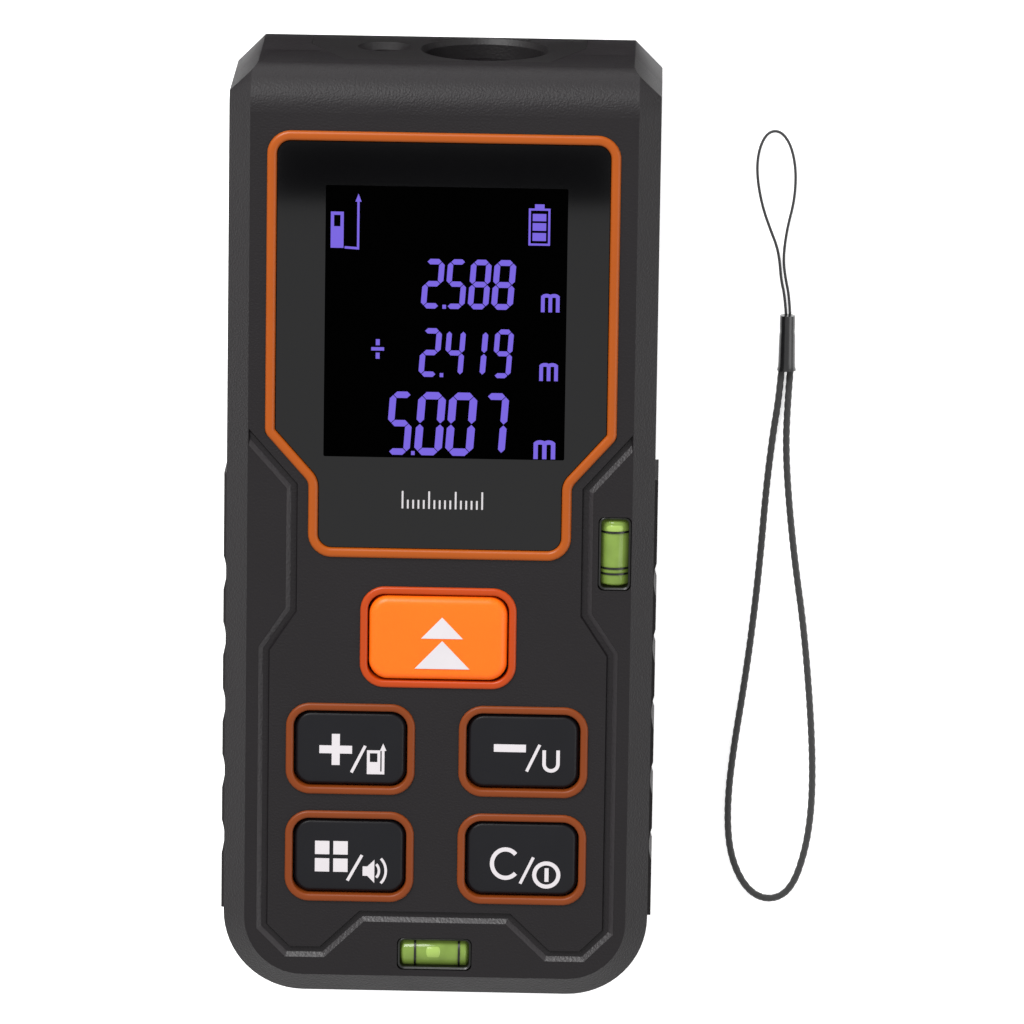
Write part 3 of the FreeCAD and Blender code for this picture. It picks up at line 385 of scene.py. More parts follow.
CORD_RADIUS = 0.45
STRING_RADIUS = 0.175
STRAP_ROUTE = [
    (0.0420, 0.0167), (0.04175, 0.0130), (0.0411, 0.0085), (0.0404, 0.0016), (0.03985, -0.0071),
    (0.0391, -0.0158), (0.0381, -0.0244), (0.03695, -0.0324), (0.03635, -0.0386), (0.0364, -0.0436),
    (0.0370, -0.0470), (0.0382, -0.0498), (0.03975, -0.0516), (0.0416, -0.0523), (0.0435, -0.0518),
    (0.0449, -0.0501), (0.0459, -0.0472), (0.0466, -0.0438), (0.0470, -0.0394), (0.04695, -0.0334),
    (0.0464, -0.0256), (0.04545, -0.0164), (0.0442, -0.0083), (0.0433, -0.0008), (0.04275, 0.0060),
    (0.0428, 0.0116), (0.0431, 0.0167),
]
STRING_ROUTE = [
    (0.0429, 0.0237), (0.04275, 0.0260), (0.04225, 0.0282), (0.04195, 0.0303), (0.04205, 0.0324),
    (0.0424, 0.0349), (0.0431, 0.0379), (0.0433, 0.0409), (0.04305, 0.0434), (0.0424, 0.0455),
    (0.0413, 0.0469), (0.0399, 0.0469), (0.0389, 0.0455), (0.0384, 0.0432), (0.0385, 0.0406),
    (0.03915, 0.0374), (0.04015, 0.0346), (0.0411, 0.0323), (0.0415, 0.0302), (0.0417, 0.0280),
    (0.0422, 0.0260), (0.0424, 0.0237),
]


def route_line(name, route, height):
    """A smooth curve with the route's points as its control points."""
    curve = bpy.data.curves.new(name, "CURVE")
    curve.dimensions = "3D"
    spline = curve.splines.new("NURBS")
    spline.points.add(len(route) - 1)
    for point, (x, y) in zip(spline.points, route):
        point.co = (x, y, height, 1)
    spline.order_u = 3
    spline.use_endpoint_u = True
    curve.resolution_u = 24
    return bpy.data.objects.new(name, curve)


def points_along(line):
    """The points that a curve with no bevel runs through, and its length, in metres."""
    mesh = bpy.data.meshes.new_from_object(line)
    points = np.empty(len(mesh.vertices) * 3)
    mesh.vertices.foreach_get("co", points)
    points = points.reshape(-1, 3)
    return points, float(np.linalg.norm(np.diff(points, axis=0), axis=1).sum())


def evenly(points, step):
    """The same line with its points a step apart."""
    run = np.r_[0, np.cumsum(np.linalg.norm(np.diff(points, axis=0), axis=1))]
    even = np.linspace(0, run[-1], int(run[-1] / step) + 1)
    return np.column_stack([np.interp(even, run, points[:, axis]) for axis in range(3)]), even


BRAID_PITCH = 1.15
BRAID_STRANDS = 4
BRAID_DEPTH = 0.16
BRAID_STEP = 0.14
BRAID_SIDES = 20


def braided_tube(points, radius):
    """A tube whose radius is radius * (1 - depth * hollow). hollow is 0 on the crests of two sets
    of strands, cos(strands * angle + turn) and cos(strands * angle - turn), one full turn a pitch."""
    line, run = evenly(points / MM, BRAID_STEP)
    along = unit(np.gradient(line, axis=0))
    side = unit(np.cross(along, (0, 0, 1)))
    above = np.cross(side, along)
    angle = np.linspace(0, 2 * np.pi, BRAID_SIDES, endpoint=False)
    turn = 2 * np.pi * run[:, None] / BRAID_PITCH
    crest = np.maximum(np.cos(BRAID_STRANDS * angle + turn), np.cos(BRAID_STRANDS * angle - turn))
    reach = radius * (1 - BRAID_DEPTH * (1 - crest) / 2)
    spokes = side[:, None] * np.cos(angle)[:, None] + above[:, None] * np.sin(angle)[:, None]
    return skin(line[:, None] + spokes * reach[..., None])


SLEEVE_LENGTH = 7.0
SLEEVE_LIP = 0.12
SLEEVE_TAPER = 0.25
CRIMP_DEPTH = 0.05
CRIMP_AT = 0.72


def make_strap():
    """The thick braided loop, the thin string loop and the vinyl sleeve that holds both."""
    low, high = box_mm("strap_sleeve")
    middle = (low[0] + high[0]) / 2
    foot_radius = (high[0] - low[0]) / 2
    head_radius = foot_radius - SLEEVE_TAPER
    share = np.linspace(0, 1, 15)
    radius = foot_radius - SLEEVE_LIP + (head_radius - foot_radius + SLEEVE_LIP) * share
    radius += SLEEVE_LIP * np.exp(-(share / 0.05) ** 2)
    radius -= CRIMP_DEPTH * np.exp(-((share - CRIMP_AT) / 0.05) ** 2)
    profile = [(0, foot_radius * 0.72), *zip(share * SLEEVE_LENGTH, radius),
               (SLEEVE_LENGTH, head_radius * 0.62)]
    sleeve = mesh_piece("vinyl_sleeve", [revolve((middle, low[1], foot_radius), profile)], VINYL_SLEEVE,
                        "housing", ["strap_sleeve"])

    points, length = points_along(route_line("strap_line", STRAP_ROUTE, CORD_RADIUS * MM))
    cord = mesh_piece("braided_loop", [braided_tube(points, CORD_RADIUS)], BRAID, "housing",
                      ["strap_cord"], 80)
    tuple(points[0])
    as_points(points)

    string = route_line("string_loop", STRING_ROUTE, STRING_RADIUS * MM)
    points, length = points_along(string)
    string.data.bevel_depth = STRING_RADIUS * MM
    string.data.bevel_resolution = 4
    string.data.use_fill_caps = True
    string.data.materials.append(STRING)
    bpy.context.scene.collection.objects.link(string)
    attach(string, "housing")
    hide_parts("strap_string")
    tuple(points[0])


make_strap()


# ---------------------------------------------------------------- screen

# Places on the window are measured along the meter from a line TRIM_LIP above the trim's foot.
TRIM_LIP = 1.4
BASE_LINE = box_mm("screen_trim")[0][1] + TRIM_LIP
TRIM_SHOULDER = BASE_LINE + 14.1
TRIM_NECK = BASE_LINE + 8.0
TRIM_NECK_HALF = 16.2
TRIM_BAND = 1.2
TRIM_CORNERS = [2.9, 1.6, 1.6, 2.9, 2.9, 1.6, 1.6, 2.9]
TRIM_BEVEL = 0.4
WINDOW_TOP = 27.0
WINDOW_GAP = 0.03
WINDOW_BEVEL = 0.08


def trim_outline():
    """The screen surround: wide at the head, with a narrower neck at the foot."""
    low, high = box_mm("screen_trim")
    half, head, foot = high[0], high[1], low[1]
    left = [(-half, head), (-half, TRIM_SHOULDER), (-TRIM_NECK_HALF, TRIM_NECK), (-TRIM_NECK_HALF, foot)]
    return rounded_outline(left + [(-x, y) for x, y in left[::-1]], TRIM_CORNERS)


def make_screen():
    outline = trim_outline()
    low, high = box_mm("screen_trim")
    band = band_profile(-TRIM_BAND, 0, low[2], high[2], TRIM_BEVEL)
    mesh_piece("orange_screen_trim", [carry(outline, band)],
               ABS_ORANGE, "housing", ["screen_trim"])
    bottom = box_mm("screen_window")[0][2]
    edge = -TRIM_BAND - WINDOW_GAP
    profile = [(edge, bottom), (edge, WINDOW_TOP - WINDOW_BEVEL), (edge - WINDOW_BEVEL, WINDOW_TOP)]
    mesh_piece("black_window", [carry(outline, profile, joined=False)], WINDOW_ACRYLIC, "housing",
               ["screen_window"])


DISPLAY = (-14.4, 15.2, 11.3, 45.2)
DISPLAY_TOP = WINDOW_TOP + 0.01
SEGMENT_RISE = 0.02
on_display = level(DISPLAY_TOP)


def from_base_line(tiles):
    """Tiles whose places were given from the base line, moved to the frame's own origin."""
    return [(points + (0, BASE_LINE, 0), faces) for points, faces in tiles]


# Which of a digit's seven bars are lit: head, upper right, lower right, foot, lower left,
# upper left, middle.
LIT_BARS = {"0": "1111110", "1": "0110000", "2": "1101101", "4": "0110011", "5": "1011011",
            "7": "1110000", "8": "1111111", "9": "1111011"}
SLANT = 0.07


def bar(start, end, width):
    """A lit bar: a long hexagon that comes to a point at each end."""
    start, end = np.array(start, float), np.array(end, float)
    along = unit(end - start)
    side = np.array([-along[1], along[0]]) * width / 2
    tip = along * width / 2
    return [start, start + tip + side, end - tip + side, end, end - tip - side, start + tip - side]


def digit(sign, left, right, foot, head):
    """A seven-bar digit that leans a little to the right."""
    width = 0.27 * (right - left) if sign != "1" else 0.75 * (right - left)
    inset, middle, gap = width / 2, (foot + head) / 2, 0.06
    low, high = foot + inset, head - inset
    west, east = left + inset, right - inset
    ends = [((west, high), (east, high)), ((east, high), (east, middle)), ((east, middle), (east, low)),
            ((west, low), (east, low)), ((west, middle), (west, low)), ((west, high), (west, middle)),
            ((west, middle), (east, middle))]
    tiles = []
    for lit, (start, end) in zip(LIT_BARS[sign], ends):
        if lit == "1":
            start, end = np.array(start), np.array(end)
            shift = unit(end - start) * gap
            corners = np.array(bar(start + shift, end - shift, width))
            corners[:, 0] += SLANT * (corners[:, 1] - middle)
            tiles += [plate(corners, on_display, SEGMENT_RISE)]
    return tiles


def unit_sign(left, right, foot, head):
    """The letter m: three stems joined by two round arches."""
    width = 0.2 * (right - left)
    stems = np.linspace(left + width / 2, right - width / 2, 3)
    arch = (stems[1] - stems[0]) / 2
    tiles = [stroke([(stem, foot), (stem, head - arch * 0.6)], width, on_display, thick=SEGMENT_RISE)
             for stem in stems]
    tiles += [stroke(arc((stem + arch, head - arch), (arch, arch - width / 2), 180, 0, 8), width,
                     on_display, thick=0.021) for stem in stems[:2]]
    return tiles


# Each row of the reading: its digits as (sign, left, right), the foot and head of the digits,
# and the box of its unit.
READINGS = {
    "reading_first": ([("2", -2.47, 0.06), ("5", 0.44, 2.89), ("8", 3.27, 5.8), ("8", 6.14, 8.8)],
                      30.05, 36.25, (12.06, 14.34, 29.84, 32.14)),
    "reading_second": ([("2", -2.66, -0.17), ("4", 0.42, 2.75), ("1", 4.6, 5.5), ("9", 6.34, 8.63)],
                       21.5, 27.6, (11.98, 14.26, 21.24, 23.5)),
    "reading_sum": ([("5", -6.53, -3.56), ("0", -3.03, 0.37), ("0", 0.77, 4.22), ("7", 5.0, 8.1)],
                    11.65, 19.6, (11.41, 14.08, 11.42, 13.8)),
}


def square(left, foot, right, head):
    return [(left, foot), (right, foot), (right, head), (left, head)]


def frame_line(left, foot, right, head, width, height_of, thick=0.05):
    inset = width / 2
    path = square(left + inset, foot + inset, right - inset, head - inset)
    return stroke(path, width, height_of, True, thick)


def make_display():
    """The dark display, its readings, the battery sign and the sign for the measuring edge."""
    left, right, foot, head = DISPLAY
    outline = rounded_outline(square(left, foot + BASE_LINE, right, head + BASE_LINE), 0.2, 3)
    mesh_piece("display_face", [carry(outline, [(0, WINDOW_TOP - 0.2), (0, DISPLAY_TOP)], joined=False)],
               DISPLAY_DARK, "housing")
    for name, (digits, low, high, letter) in READINGS.items():
        tiles = [tile for sign, west, east in digits for tile in digit(sign, west, east, low, high)]
        dot = digits[0][2] + 0.16
        tiles += [plate(square(dot - 0.22, low, dot + 0.22, low + 0.5), on_display, 0.022)]
        tiles += unit_sign(*letter)
        mesh_piece(name, from_base_line(tiles), DISPLAY_SEGMENT, "housing")

    signs = [frame_line(-13.76, 37.42, -12.18, 41.92, 0.4, on_display, 0.02),
             plate(square(-13.5, 37.7, -12.4, 40.1), on_display, 0.021),
             stroke([(-12.05, 37.5), (-10.4, 37.4)], 0.3, on_display, thick=0.02),
             stroke([(-10.4, 37.25), (-10.4, 43.6)], 0.28, on_display, thick=0.021),
             plate([(-10.78, 43.2), (-10.02, 43.2), (-10.4, 44.2)], on_display, 0.022)]
    signs += [frame_line(10.41, 38.13, 13.05, 42.74, 0.26, on_display, 0.02),
              plate(square(11.15, 42.7, 12.32, 43.26), on_display, 0.021)]
    signs += [plate(square(10.9, low, 12.55, high), on_display, 0.021)
              for low, high in ((41.17, 42.07), (39.98, 40.93), (38.71, 39.70))]
    signs += [plate(square(-8.65, 24.68, -7.08, 25.1), on_display, 0.021),
              plate(square(-8.1, 25.35, -7.62, 26.1), on_display, 0.022),
              plate(square(-8.1, 23.66, -7.62, 24.42), on_display, 0.022)]
    mesh_piece("display_signs", from_base_line(signs), DISPLAY_SEGMENT, "housing")


MARK = (-4.6, 5.2, 4.9, 7.1)
TICK_HALF = 0.11
on_window = level(WINDOW_TOP)


def make_mark():
    """A plain row of ruler ticks under the display, every fifth one tall."""
    left, right, foot, head = MARK
    places = np.linspace(left, right, 16)
    tiles = []
    for number, x in enumerate(places):
        top = head if number % 5 == 0 else foot + 0.5 * (head - foot)
        tiles += [plate(square(x - TICK_HALF, foot, x + TICK_HALF, top), on_window, 0.02)]
    mesh_piece("ruler_mark", from_base_line(tiles), MARK_INK, "housing")


make_screen()
make_display()
make_mark()


# ---------------------------------------------------------------- keys

KEY_EDGE = {"measure": 0.95, "small": 0.6}
KEY_CROWN = {"measure": 0.28, "small": 0.16}
KEY_CORNER = {"measure": 2.3, "small": 2.0}
RING_CORNER = 3.0
RING_BAND = 0.95
RING_EDGE = 0.3
KEY_CLEARANCE = 1.13
KEY_ROOT = 2.4
INK_RISE = 0.03
INK_ROOM = 0.06


class Key:
    """One key's middle, half sizes and top, read from its CAD ring and cap."""

    def __init__(self, name):
        self.kind = "measure" if name == "measure" else "small"
        low, high = box_mm(name + "_key_ring")
        self.middle = (low[:2] + high[:2]) / 2
        self.ring_half = (high[:2] - low[:2]) / 2
        self.ring_low, self.ring_top = low[2], high[2]
        self.half = self.ring_half - KEY_CLEARANCE
        low, high = box_mm(name + "_key")
        self.low, self.top = low[2], high[2] - INK_RISE - INK_ROOM

    def height_of(self, x, y):
        """The crowned top: its top less the crown times the mean of (x / half)^2 and (y / half)^2."""
        across = (x - self.middle[0]) / self.half[0]
        along = (y - self.middle[1]) / self.half[1]
        return self.top - KEY_CROWN[self.kind] * (across ** 2 + along ** 2) / 2

    def ink_height(self, x, y):
        return self.height_of(x + self.middle[0], y + self.middle[1]) + INK_RISE


def key_cap(key):
    """A cap: straight walls, a quarter round at the rim, then rings that shrink to the middle."""
    edge = KEY_EDGE[key.kind]
    outline, outward = rounded_outline(rectangle(key.middle, *key.half), KEY_CORNER[key.kind])
    rings = [lifted(outline, key.low + KEY_ROOT), lifted(outline, key.low + KEY_ROOT + 0.2)]
    for turn in np.radians(np.linspace(0, 90, 7)):
        points = outline - outward * edge * (1 - math.cos(turn))
        rings += [lifted(points, key.height_of(*points.T) - edge * (1 - math.sin(turn)))]
    rim = outline - outward * edge
    for share in np.linspace(1, 0.05, 9)[1:]:
        points = key.middle + (rim - key.middle) * share
        rings += [lifted(points, key.height_of(*points.T))]
    return skin(rings)


def slash(start, end, key):
    return stroke([start, end], 0.37, key.ink_height)


def plus_signs(key):
    """A plus, and beside it the meter with its measuring edge."""
    at = key.ink_height
    cross = [(-3.84, -0.63), (-3.84, 0.37), (-2.31, 0.37), (-2.31, 1.85), (-1.31, 1.85), (-1.31, 0.37),
             (0.21, 0.37), (0.21, -0.63), (-1.31, -0.63), (-1.31, -2.11), (-2.31, -2.11), (-2.31, -0.63)]
    return [plate(cross, at),
            slash((1.84, 0.40), (0.15, -3.03), key),
            frame_line(2.06, -3.21, 3.72, -0.16, 0.36, at),
            plate(square(2.3, -3.0, 3.5, -1.66), at, 0.055),
            stroke([(4.06, -3.22), (4.06, -0.1)], 0.34, at),
            stroke([(3.6, -3.04), (4.2, -3.04)], 0.34, at, thick=0.055),
            plate([(3.66, -0.2), (4.46, -0.2), (4.06, 0.74)], at, 0.055)]


def minus_signs(key):
    """A minus, and beside it the letter for unit."""
    bend = arc((3.46, -1.5), (0.86, 0.86), 180, 360, 16)
    return [plate(square(-3.64, -0.04, 0.33, 0.92), key.ink_height),
            slash((2.04, 0.94), (0.45, -2.48), key),
            stroke([(2.6, 0.25), *bend, (4.32, 0.25)], 0.44, key.ink_height)]


def menu_signs(key):
    """Four squares, and beside them a loudspeaker with two sound waves."""
    at = key.ink_height
    tiles = [plate(square(left, foot, left + 1.79, foot + 1.7), at)
             for left in (-4.27, -1.99) for foot in (-2.05, 0.18)]
    horn = [(1.67, -1.3), (2.25, -1.3), (3.13, -0.43), (3.13, -3.40), (2.25, -2.5), (1.67, -2.5)]
    tiles += [slash((1.57, 0.15), (-0.21, -3.16), key), plate(horn, at)]
    tiles += [stroke(arc((2.7, -1.85), (reach, reach * 1.15), -48, 48, 10), 0.32, at)
              for reach in (1.0, 1.85)]
    return tiles


def clear_signs(key):
    """The letter for clear, and beside it a power ring."""
    at = key.ink_height
    return [stroke(arc((-2.0, -0.6), (1.68, 1.83), 42, 318, 28), 0.52, at),
            slash((1.45, 0.26), (-0.15, -3.13), key),
            stroke(arc((3.09, -1.97), (1.5, 1.5), 0, 348.75, 31), 0.5, at, True),
            stroke([(3.12, -1.1), (3.12, -2.84)], 0.5, at)]


def measure_signs(key):
    """Two triangles one above the other, both pointing to the laser end."""
    return [plate([(-2.08, 0.1), (3.08, 0.1), (0.48, 2.79)], key.ink_height),
            plate([(-2.84, -3.75), (3.92, -3.75), (0.52, -0.18)], key.ink_height)]


KEY_SIGNS = {"measure": measure_signs, "plus": plus_signs, "minus": minus_signs, "menu": menu_signs,
             "clear": clear_signs}


def make_keys():
    for name, signs in KEY_SIGNS.items():
        key = Key(name)
        big = name == "measure"
        mesh_piece(name + "_cap", [key_cap(key)], SILICONE_ORANGE if big else SILICONE_BLACK,
                   name + "_button", [name + "_key"], 55)
        outline = rounded_outline(rectangle(key.middle, *key.ring_half), RING_CORNER)
        band = band_profile(-RING_BAND, 0, key.ring_low, key.ring_top, RING_EDGE)
        mesh_piece(name + "_ring", [carry(outline, band)], ABS_MEASURE_RING if big else ABS_ORANGE_PAINTED_SHADE,
                   "housing", [name + "_key_ring"])
        tiles = [(points + (*key.middle, 0), faces) for points, faces in signs(key)]
        mesh_piece(name + "_sign", tiles, KEY_INK, name + "_button")


make_keys()


# ---------------------------------------------------------------- level vials

WELL_RIM = 0.3
WELL_DEPTH = 2.6
WELL_CORNER = 0.9
DOME_SHARE = 0.3
BUBBLE_DOME_SHARE = 0.7
BARREL_RADIUS = 1.88
BARREL_END_GAP = 0.28
BARREL_RISE = 0.4
BUBBLE_SINK = 0.42
BUBBLE_SQUEEZE = 0.5
LINE_WIDTH = 0.26
# The lines are painted outside the clear wall of the tube, so that the bubble passes under them.
LINE_INNER = BARREL_RADIUS + 0.10
LINE_OUTER = BARREL_RADIUS + 0.13


def capsule(start, end, radius, cross, along, squeeze=1.0, dome_share=DOME_SHARE):
    """A barrel with domed ends: its radius falls off as a circle over the last radius of length."""
    turn = np.linspace(0, np.pi / 2, 7)
    dome = radius * dome_share
    near = [(start + dome * (1 - math.sin(at)), radius * math.cos(at) + 0.001) for at in turn[::-1]]
    far = [(end - dome * (1 - math.sin(at)), radius * math.cos(at) + 0.001) for at in turn]
    points, faces = revolve((0, 0, 0), near + far, along)
    points[:, 2] *= squeeze
    return points + cross, faces


def make_vial(name, along, lines, bubble, bubble_body):
    """A dark well with a green barrel in it, its black lines and its bubble. lines are places along
    the vial from its middle; bubble is its first and last place, its radius and a shift sideways."""
    low, high = box_mm(name + "_vial")
    middle = (low + high) / 2
    half = (high - low) / 2
    outline = rounded_outline(rectangle(middle[:2], half[0] + 0.02, half[1] + 0.02), WELL_CORNER)
    floor = high[2] - WELL_DEPTH
    profile = [(-WELL_RIM, floor - 0.3), (0, floor - 0.3), (0, high[2] + 0.55), (-0.1, high[2] + 0.62),
               (-WELL_RIM, high[2] + 0.45), (-WELL_RIM - 0.12, floor)]
    rings = [lifted(outline[0] + outline[1] * offset, height) for offset, height in profile[1:]]
    well = skin([rings[0], *rings])
    mesh_piece(name + "_vial_well", [well], VIAL_WELL_PAINTED_SHADE, "housing", [name + "_vial"])

    axis = 1 if along == "Y" else 0
    reach = half[axis] - BARREL_END_GAP
    cross = np.array([middle[0], middle[1], high[2] - BARREL_RADIUS + BARREL_RISE])
    cross[axis] = 0
    start, end = middle[axis] - reach, middle[axis] + reach
    mesh_piece(name + "_barrel", [capsule(start, end, BARREL_RADIUS, cross, along)], VIAL_SPIRIT_PAINTED_GLOW,
               "housing", [name + "_vial_fluid"], 70)
    bands = []
    for offset in lines:
        place = middle[axis] + offset
        near, far = place - LINE_WIDTH / 2, place + LINE_WIDTH / 2
        profile = [(near, LINE_INNER), (near, LINE_OUTER), (far, LINE_OUTER), (far, LINE_INNER)]
        bands += [revolve(cross, profile, along, joined=True)]
    mesh_piece(name + "_vial_lines", bands, VIAL_LINE, "housing")
    first, last, radius, sideways = bubble
    spot = cross + (0, 0, BARREL_RADIUS - BUBBLE_SINK * radius)
    spot[1 - axis] += sideways
    air = capsule(middle[axis] + first, middle[axis] + last, radius, spot, along, BUBBLE_SQUEEZE,
                  BUBBLE_DOME_SHARE)
    mesh_piece(name + "_air_bubble", [air], VIAL_AIR_PAINTED_GLOW, bubble_body, [name + "_bubble"], 70)


make_vial("side", "Y", (2.65, -1.91, -2.6), (2.2, 3.9, 1.1, 0.0), "side_bubble_body")
make_vial("foot", "X", (-2.41, 3.05), (-1.25, 0.95, 0.8, 0.1), "foot_bubble_body")


# ---------------------------------------------------------------- optics, back and flanks

LENS_SETBACK = 0.6
LENS_SAG = 1.3


def make_optics_end():
    """The convex receiver lens, set back inside its opening."""
    low, high = box_mm("receiver_lens")
    middle = (low + high) / 2
    radius = (high[0] - low[0]) / 2
    shares = np.linspace(1, 0.03, 14)
    front = [(high[1] - LENS_SETBACK - LENS_SAG * share ** 2, radius * share) for share in shares]
    mesh_piece("domed_receiver_lens", [revolve((middle[0], 0, middle[2]), [(low[1], radius), *front])],
               LENS_COATED, "housing", ["receiver_lens"], 60)


SCREW_HEAD = 2.3
SCREW_SHANK = 1.1
SCREW_TIP = 14
LOBE_DEPTH = 0.9


def make_screws():
    """Pan heads with a six-lobe socket: the socket's radius is 0.95 + 0.2 cos(6 angle)."""
    angle = np.linspace(0, 2 * np.pi, 72, endpoint=False)
    lobes = 0.95 + 0.2 * np.cos(6 * angle)
    heads = []
    low, high = box_mm("housing_screws")
    half_length = (high[1] - low[1]) / 2 - SCREW_HEAD
    for x, y in rectangle((0, (low[1] + high[1]) / 2), high[0] - SCREW_HEAD, half_length):
        def ring(radius, height):
            return np.column_stack([x + radius * np.cos(angle), y + radius * np.sin(angle),
                                    np.full(len(angle), height)])
        heads += [skin([ring(SCREW_SHANK, SCREW_TIP), ring(SCREW_SHANK, 2.4), ring(SCREW_HEAD, 2.4),
                        ring(SCREW_HEAD, 0.9), ring(2.18, 0.68), ring(1.9, 0.56),
                        ring(lobes + 0.08, 0.5), ring(lobes, 0.56), ring(lobes * 0.97, 0.5 + LOBE_DEPTH)])]
    mesh_piece("six_lobe_screws", heads, STEEL_ZINC, "housing", ["housing_screws"])


LABEL_INSET = 1.6
LABEL_BAR_EDGE = 11
LABEL_BAR_HEIGHT = 1.1
LABEL_BAR_PITCH = 3.2
LABEL_FIRST_BAR = 6
on_label = level(0.06)


def make_label():
    """A blank film label on the back: a border line and plain bars, with no lettering."""
    low, high = box_mm("rear_label")
    edge = square(low[0] + LABEL_INSET, low[1] + LABEL_INSET, high[0] - LABEL_INSET, high[1] - LABEL_INSET)
    border = rounded_outline(edge, 1.2)[0]
    tiles = [stroke(border, 0.3, on_label, True, 0.02)]
    for number, width in enumerate((20, 16, 18, 11)):
        head = high[1] - LABEL_FIRST_BAR - LABEL_BAR_PITCH * number
        corners = square(LABEL_BAR_EDGE - width, head - LABEL_BAR_HEIGHT, LABEL_BAR_EDGE, head)
        tiles += [plate(corners, on_label, 0.02)]
    mesh_piece("label_border", tiles, LABEL_INK, "housing")


SEAM_HEIGHT = 14.0
SEAM_END = 15.8
HOUSING_HALF = 26.4
HEAD_CHAMFER = 3.4


def make_seam():
    """The parting line between the two covers, a hair-thin dark bead round the housing."""
    head = box_mm("rear_cover")[1][1]
    foot, half = -head, HOUSING_HALF
    corners = [(-half + HEAD_CHAMFER, head), (-half, head - HEAD_CHAMFER), (-half, foot), (half, foot),
               (half, head - HEAD_CHAMFER), (half - HEAD_CHAMFER, head)]
    points, outward = rounded_outline(corners, [0.3, 0.3, 10, 10, 0.3, 0.3], 10)
    points = np.vstack([(-SEAM_END, head), points, (SEAM_END, head)])
    outward = np.vstack([(0, 1), outward, (0, 1)])
    section = [(-0.1, -0.11), (0.0, -0.11), (0.0, 0.11), (-0.1, 0.11)]
    rings = np.stack([lifted(points + outward * out, SEAM_HEIGHT + rise) for out, rise in section], 1)
    mesh_piece("parting_line", [skin(rings)], SEAM_SHADOW, "housing")


GROOVE_EDGE_WIDTH = 0.6
GROOVE_LOW = 26.56
FACE_TOP = 27.0


def groove_line(inset):
    """The outer edge of the face groove moved inset inwards, from one flank round the foot to the
    other. The factors beside inset are each corner's mitre: the sum of its two inward normals over
    one plus their product."""
    lean = inset * 0.41
    left = np.array([(-23.6, 11.5 + inset * 1.51), (-18.9 + inset, 6.2 + inset * 0.38),
                     (-18.9 + inset, -9.0 - inset * 0.3), (-22.2 + inset, -14.0 - inset * 0.3),
                     (-22.2 + inset, -50.0 + lean), (-18.6 + lean, -53.6 + inset),
                     (-13.7 - lean, -53.6 + inset), (-8.8 - lean, -48.9 + inset)])
    return np.vstack([left, left[::-1] * (-1, 1)])


def make_groove_edge():
    """A straight slope from the outer edge of the face groove down to its floor."""
    section = [(0.02, FACE_TOP - 0.01), (GROOVE_EDGE_WIDTH, GROOVE_LOW), (0.02, GROOVE_LOW)]
    rings = np.stack([lifted(groove_line(inset), height) for inset, height in section], 1)
    mesh_piece("groove_edge", [skin(rings)], ABS_EDGE_PAINTED_HIGHLIGHT, "housing", smooth_angle=20)


make_optics_end()
make_groove_edge()
make_screws()
make_label()
make_seam()


# ---------------------------------------------------------------- finishes of the CAD nodes

NODE_FINISH = {
    "front_cover": ABS_CHARCOAL, "rear_cover": ABS_BACK, "battery_door": ABS_DOOR,
    "left_grip": ELASTOMER, "right_grip": ELASTOMER, "optics_panel": ABS_OPTICS,
    "optics_chassis": BORE_DARK, "laser_module": BRASS_TURNED, "laser_window": GLASS_WINDOW,
    "collimator_lens": GLASS_WINDOW, "receiver_lens": LENS_COATED, "receiver_board": FR4_GREEN,
    "light_sensor": STEEL_NICKEL, "main_board": FR4_GREEN, "processor_chip": EPOXY_CHIP,
    "buzzer": NYLON_BLACK, "tactile_switches": STEEL_NICKEL, "keypad_gasket": SILICONE_GREY,
    "housing_screws": STEEL_ZINC, "strap_pin": STEEL_ZINC, "rear_label": LABEL_FILM,
    "batteries": CELL_WRAP, "spring_contacts": STEEL_NICKEL, "plate_contacts": STEEL_NICKEL,
    "battery_pad": FOAM_BLACK, "screen_trim": ABS_ORANGE, "screen_window": WINDOW_ACRYLIC,
    "lcd_panel": DISPLAY_DARK, "lcd_backlight": ACRYLIC_FROSTED, "lcd_carrier": NYLON_BLACK,
    "side_vial": ACRYLIC_CLEAR, "foot_vial": ACRYLIC_CLEAR, "side_vial_fluid": VIAL_SPIRIT_PAINTED_GLOW,
    "foot_vial_fluid": VIAL_SPIRIT_PAINTED_GLOW, "side_bubble": VIAL_AIR_PAINTED_GLOW, "foot_bubble": VIAL_AIR_PAINTED_GLOW,
    "measure_key": SILICONE_ORANGE, "measure_key_ring": ABS_MEASURE_RING,
    "strap_cord": BRAID, "strap_string": STRING, "strap_sleeve": VINYL_SLEEVE,
}
for name in ("plus", "minus", "menu", "clear"):
    NODE_FINISH[name + "_key"] = SILICONE_BLACK
    NODE_FINISH[name + "_key_ring"] = ABS_ORANGE_PAINTED_SHADE

for name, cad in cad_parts.items():
    for material_slot in cad.material_slots:
        material_slot.material = NODE_FINISH[name]


# ---------------------------------------------------------------- floor and light

def flat_card(name, corners, material):
    """A flat four-cornered card, which is not part of the object."""
    mesh = bpy.data.meshes.new(name)
    mesh.from_pydata([tuple(corner) for corner in corners], [], [(0, 1, 2, 3)])
    mesh.materials.append(material)
    card = bpy.data.objects.new(name, mesh)
    bpy.context.scene.collection.objects.link(card)
    return card


FLOOR_HALF = 3.0


def make_floor():
    """A pale paper sweep under everything."""
    paper = glowing(finish("white_paper_sweep", "#F4F4F4", 0.9, 3, 0.01, 0.01, 60), "#FFFFFF", 0.55)
    low = -0.0002
    corners = [(x, y, low) for x, y in rectangle((0, 0), FLOOR_HALF, FLOOR_HALF)]
    flat_card("paper_floor", corners, paper)


def seen_in_reflections(card):
    """A card that shows only where something glossy reflects it."""
    card.visible_camera = False
    card.visible_shadow = False
    card.visible_diffuse = False


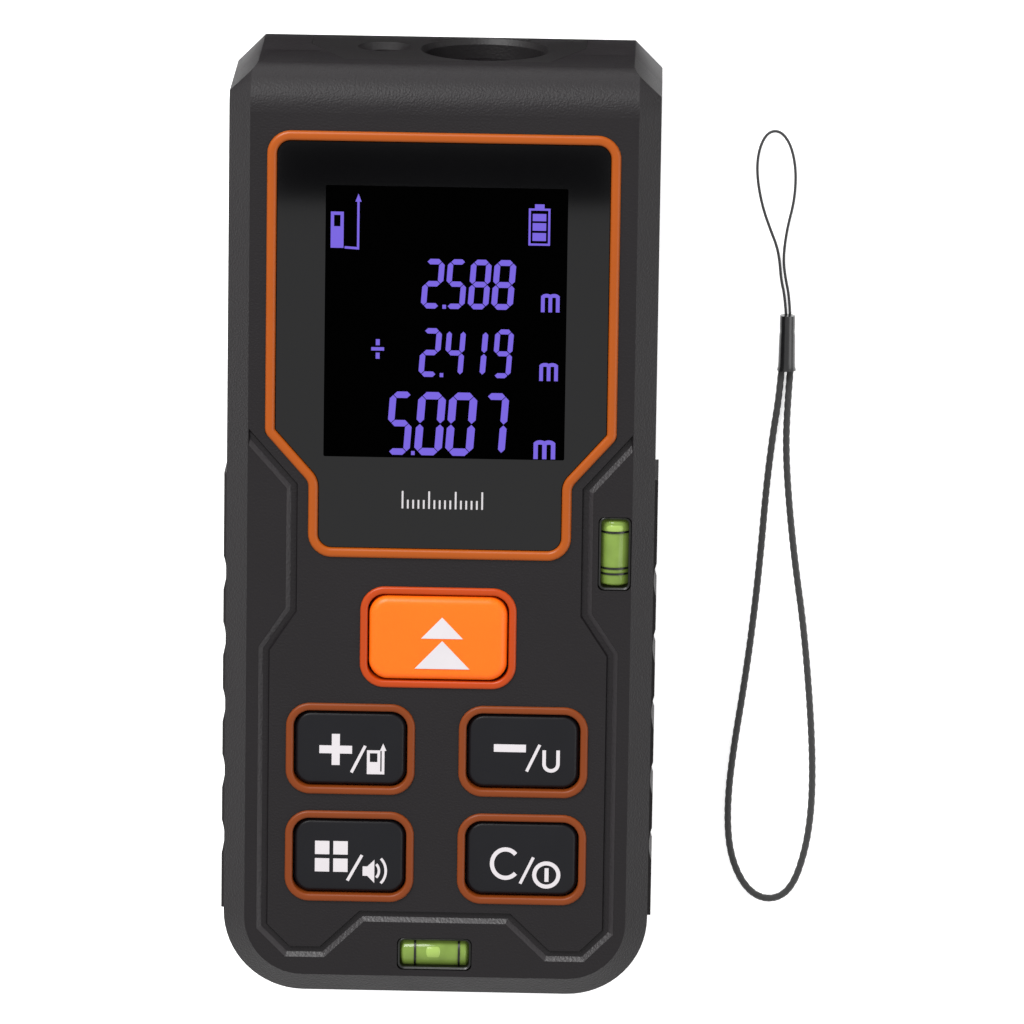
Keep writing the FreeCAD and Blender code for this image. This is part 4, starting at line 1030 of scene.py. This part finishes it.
def make_dark_card():
    """A black card over the meter, seen only as a reflection in the head of the window."""
    black = finish("black_card", "#030303", 0.9, 5, 0.01, 0.1, 50, Specular_IOR_Level=0.0)
    height = 0.40
    display_head = BASE_LINE + 43.2
    low, high = box_mm("screen_window")
    eye = np.array(camera.matrix_world.translation)

    def mirrored_spot(x, y):
        spot = np.array([x, y, WINDOW_TOP]) * MM
        way = spot - eye
        return spot + way * np.array([1, 1, -1]) * (height / -way[2])
    corners = [mirrored_spot(low[0] - 1, display_head), mirrored_spot(high[0] + 1, display_head),
               mirrored_spot(high[0] + 1, high[1] + 1), mirrored_spot(low[0] - 1, high[1] + 1)]
    seen_in_reflections(flat_card("dark_card", corners, black))


def make_head_card():
    """A black card on the table beyond the laser end, seen only as a reflection in that end."""
    black = finish("black_table_card", "#030303", 0.9, 5, 0.01, 0.1, 50, Specular_IOR_Level=0.0)
    near = CAD_BOX[1][1] + 0.0003
    far, half, low = 0.085, 0.09, 0.0001
    corners = [(-half, near, low), (half, near, low), (half, far, low), (-half, far, low)]
    seen_in_reflections(flat_card("head_card", corners, black))


def add_light(name, spot, aim, size, power):
    lamp = bpy.data.lights.new(name, "AREA")
    lamp.size = size
    lamp.energy = power
    light = bpy.data.objects.new(name, lamp)
    light.location = spot
    light.rotation_euler = (Vector(aim) - Vector(spot)).to_track_quat("-Z", "Y").to_euler()
    bpy.context.scene.collection.objects.link(light)


def make_light():
    """An even white room, with a soft light from beyond the laser end and a weaker one opposite."""
    world = bpy.data.worlds.new("white_room")
    world.use_nodes = True
    world.node_tree.nodes["Background"].inputs["Color"].default_value = (1, 1, 1, 1)
    world.node_tree.nodes["Background"].inputs["Strength"].default_value = 0.75
    bpy.context.scene.world = world
    add_light("head_light", (-0.35, 0.75, 0.65), (0, 0.02, 0.02), 0.5, 12.5)
    add_light("side_light", (0.7, -0.2, 0.6), (0, 0, 0.02), 0.6, 2.0)


make_floor()
make_dark_card()
make_head_card()
make_light()
bpy.context.scene.view_settings.view_transform = "Standard"
